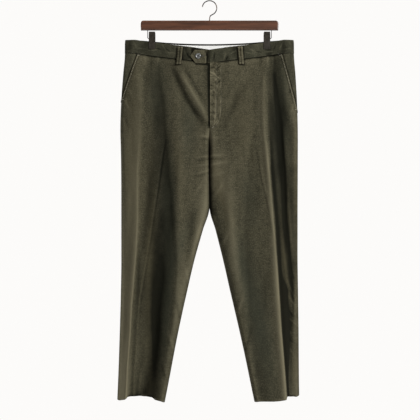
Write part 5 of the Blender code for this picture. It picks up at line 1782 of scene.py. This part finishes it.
# place, top x, bottom x, top z, facing
BELT_LOOPS = (
    ("front_right", -0.0843, -0.0894, -0.1350, -1.0),
    ("front_left", 0.0880, 0.0922, -0.1346, -1.0),
    ("back_right", -0.1180, -0.1190, -0.1235, 1.0),
    ("back_left", 0.1180, 0.1190, -0.1235, 1.0),
    ("back_centre", 0.0, 0.0, -0.1265, 1.0),
)
for seed, (place, top_x, bottom_x, top, facing) in enumerate(BELT_LOOPS):
    across, down = np.meshgrid(np.linspace(-1, 1, LOOP_COLUMNS + 1), np.linspace(0, 1, LOOP_ROWS + 1))
    x = top_x + (bottom_x - top_x) * down + LOOP_WIDTH / 2 * across
    z = top - LOOP_LENGTH * down
    rise = LOOP_RISE - LOOP_GROOVE * near(across, 0.16) - 0.0008 * np.abs(across) ** 6
    from_end = LOOP_LENGTH * np.minimum(down, 1 - down)
    rise += LOOP_END_RISE * (1 - ramp(from_end, LOOP_END * 0.6, LOOP_END))
    rise += 0.0004 * smooth_noise(x, z, 0.005, 0.009, 220 + seed)
    # painted shade in the groove, along one long edge and at the foot, and a painted highlight along the
    # other
    tone = (rise - LOOP_RISE + 0.0002) / 0.0011
    tone += 1.2 * fading(1 - across, 0.22) - 0.9 * fading(1 + across, 0.16)
    tone -= fading(LOOP_LENGTH * (1 - down), 0.0020)
    tree = skin_front if facing < 0 else skin_back
    points = laid_grid(np.stack([x, z], axis=2), rise, tree, facing)
    loop = shell(f"loop_{place}", points, facing, (cord_cloth,), thickness=LOOP_CLOTH,
                 relief=tone, grain=flat_grain(points), rounded=0.0007)
    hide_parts(f"belt_loop_{place}")
print("belt loops", len(BELT_LOOPS))

# %% [markdown]
# ## Pick stitches and bar tacks
# The pocket edges are finished by hand with small pick stitches in a paler thread, a few millimetres inside
# the edge, and a bar tack holds each end of the pocket. Each stitch is a tiny mesh of its own, and all the
# stitches of a pocket are one piece.

# %% Pocket stitches
PICK_INSIDE = 0.0030
PICK_SPACING = 0.0044
for side, sign in SIDES.items():
    runs = []
    for level in np.linspace(WAIST_SEAM - 0.006, POCKET_BOTTOM[side] + 0.004, 80):
        edge = pocket_edge(side, level) - PICK_INSIDE
        z = float(heights("front", side, np.array([edge]), level)[0])
        runs.append((sign * edge, z))
    stitches(f"pocket_stitches_{side}", along(runs, PICK_SPACING), skin_front, -1.0, pale_thread,
             thick=0.00060)
    top_x, top_z = runs[0]
    low_x, low_z = runs[-1]
    tack = [(top_x - sign * 0.0012 * i, top_z + 0.0012, 60) for i in range(5)]
    tack += [(low_x - sign * 0.0008 * i, low_z - 0.0004, 70) for i in range(4)]
    stitches(f"pocket_tacks_{side}", tack, skin_front, -1.0, pale_thread, length=0.0026, thick=0.0004)
print("pocket stitches", len(along(runs, PICK_SPACING)), "a side")

# %% [markdown]
# ## Hanger
# The hanger keeps its plain solids, because their shapes are already right. The bar is stained hardwood,
# so its grain is long noise drawn out along X. The hook is a dark bronzed wire, and the clips are coated
# steel.

# %% Hanger finishes
def stained_wood():
    """Dark red-brown wood under a thin varnish."""
    n = Nodes("stained_wood")
    place = n.add("ShaderNodeTexCoord").outputs["Object"]
    broad = n.noise(n.stretched(place, (7, 60, 90)), 1.0, 4.0)
    fine = n.noise(n.stretched(place, (28, 500, 900)), 1.0, 3.0)
    shade = n.blend(n.spread(broad, 0.32, 0.68), rgb(0.034, 0.013, 0.0065), rgb(0.138, 0.052, 0.025))
    shade = n.blend(n.spread(fine, 0.50, 0.72, 0.0, 0.6), shade, rgb(0.018, 0.008, 0.006))
    return n.set(Base_Color=shade, Normal=n.bump(fine, 0.0002, 0.4), Roughness=0.38, Coat_Weight=0.25,
                 Coat_Roughness=0.3)


def coated_metal(name, light, dark, roughness, metallic):
    """Metal under an uneven coat, more or less of it bare."""
    n = Nodes(name)
    place = n.add("ShaderNodeTexCoord").outputs["Object"]
    patch = n.noise(place, 160.0, 4.0)
    pits = n.noise(place, 1400.0, 2.0)
    shade = n.blend(n.spread(patch, 0.35, 0.70), dark, light)
    return n.set(Base_Color=shade, Normal=n.bump(pits, 0.00005, 0.3), Metallic=metallic,
                 Roughness=n.spread(patch, 0.3, 0.7, roughness - 0.08, roughness + 0.08))


bronzed_wire = coated_metal("bronzed_wire", rgb(0.065, 0.050, 0.036), rgb(0.030, 0.023, 0.017), 0.40, 0.8)
finishes = {"hanger_bar": stained_wood(), "hanger_hook": bronzed_wire}
clip_coat = coated_metal("clip_coat", rgb(0.032, 0.026, 0.017), rgb(0.018, 0.014, 0.009), 0.50, 0.30)
link_wire = coated_metal("link_wire", rgb(0.022, 0.016, 0.011), rgb(0.012, 0.009, 0.006), 0.60, 0.0)
for node, obj in frame["nodes"].items():
    finish = finishes.get(node)
    if node.startswith("clip"):
        finish = clip_coat if "jaw" in node else link_wire
    if finish:
        obj.data.materials.clear()
        obj.data.materials.append(finish)
print("finished", sorted(finishes), "and the clips")

# %% [markdown]
# ## The cut of the cloth
# Each piece was cut flat before it was sewn, so we say how large it was. These are the parts that show,
# without seam allowances or the turned hem. Where a cut isn't a rectangle, its area is given as well.

# %% Sheets
# width, length, area of the cut
CUTS = {
    "cloth_front": (0.285, 1.055, 0.235),
    "cloth_back": (0.290, 1.060, 0.255),
    "band_front": (0.2470, 0.0385, 0.00951),
    "band_back": (0.4930, 0.0385, 0.01898),
    "band_lining": (0.4520, 0.0338, 0.01528),
    "facing": (0.0480, 0.1750, 0.00520),
    "fly": (0.0354, 0.1885, 0.00610),
    "tab": (0.0555, 0.0386, 0.00184),
    "loop": (0.0150, 0.0500, 0.00075),
}
cloth_pieces = [p for p in bpy.data.objects if p.name.startswith(tuple(CUTS)) and p.type == "MESH"
                and "stitches" not in p.name and "tack" not in p.name]
for piece in sorted(cloth_pieces, key=lambda p: p.name):
    shown = piece.evaluated_get(bpy.context.evaluated_depsgraph_get()).to_mesh()
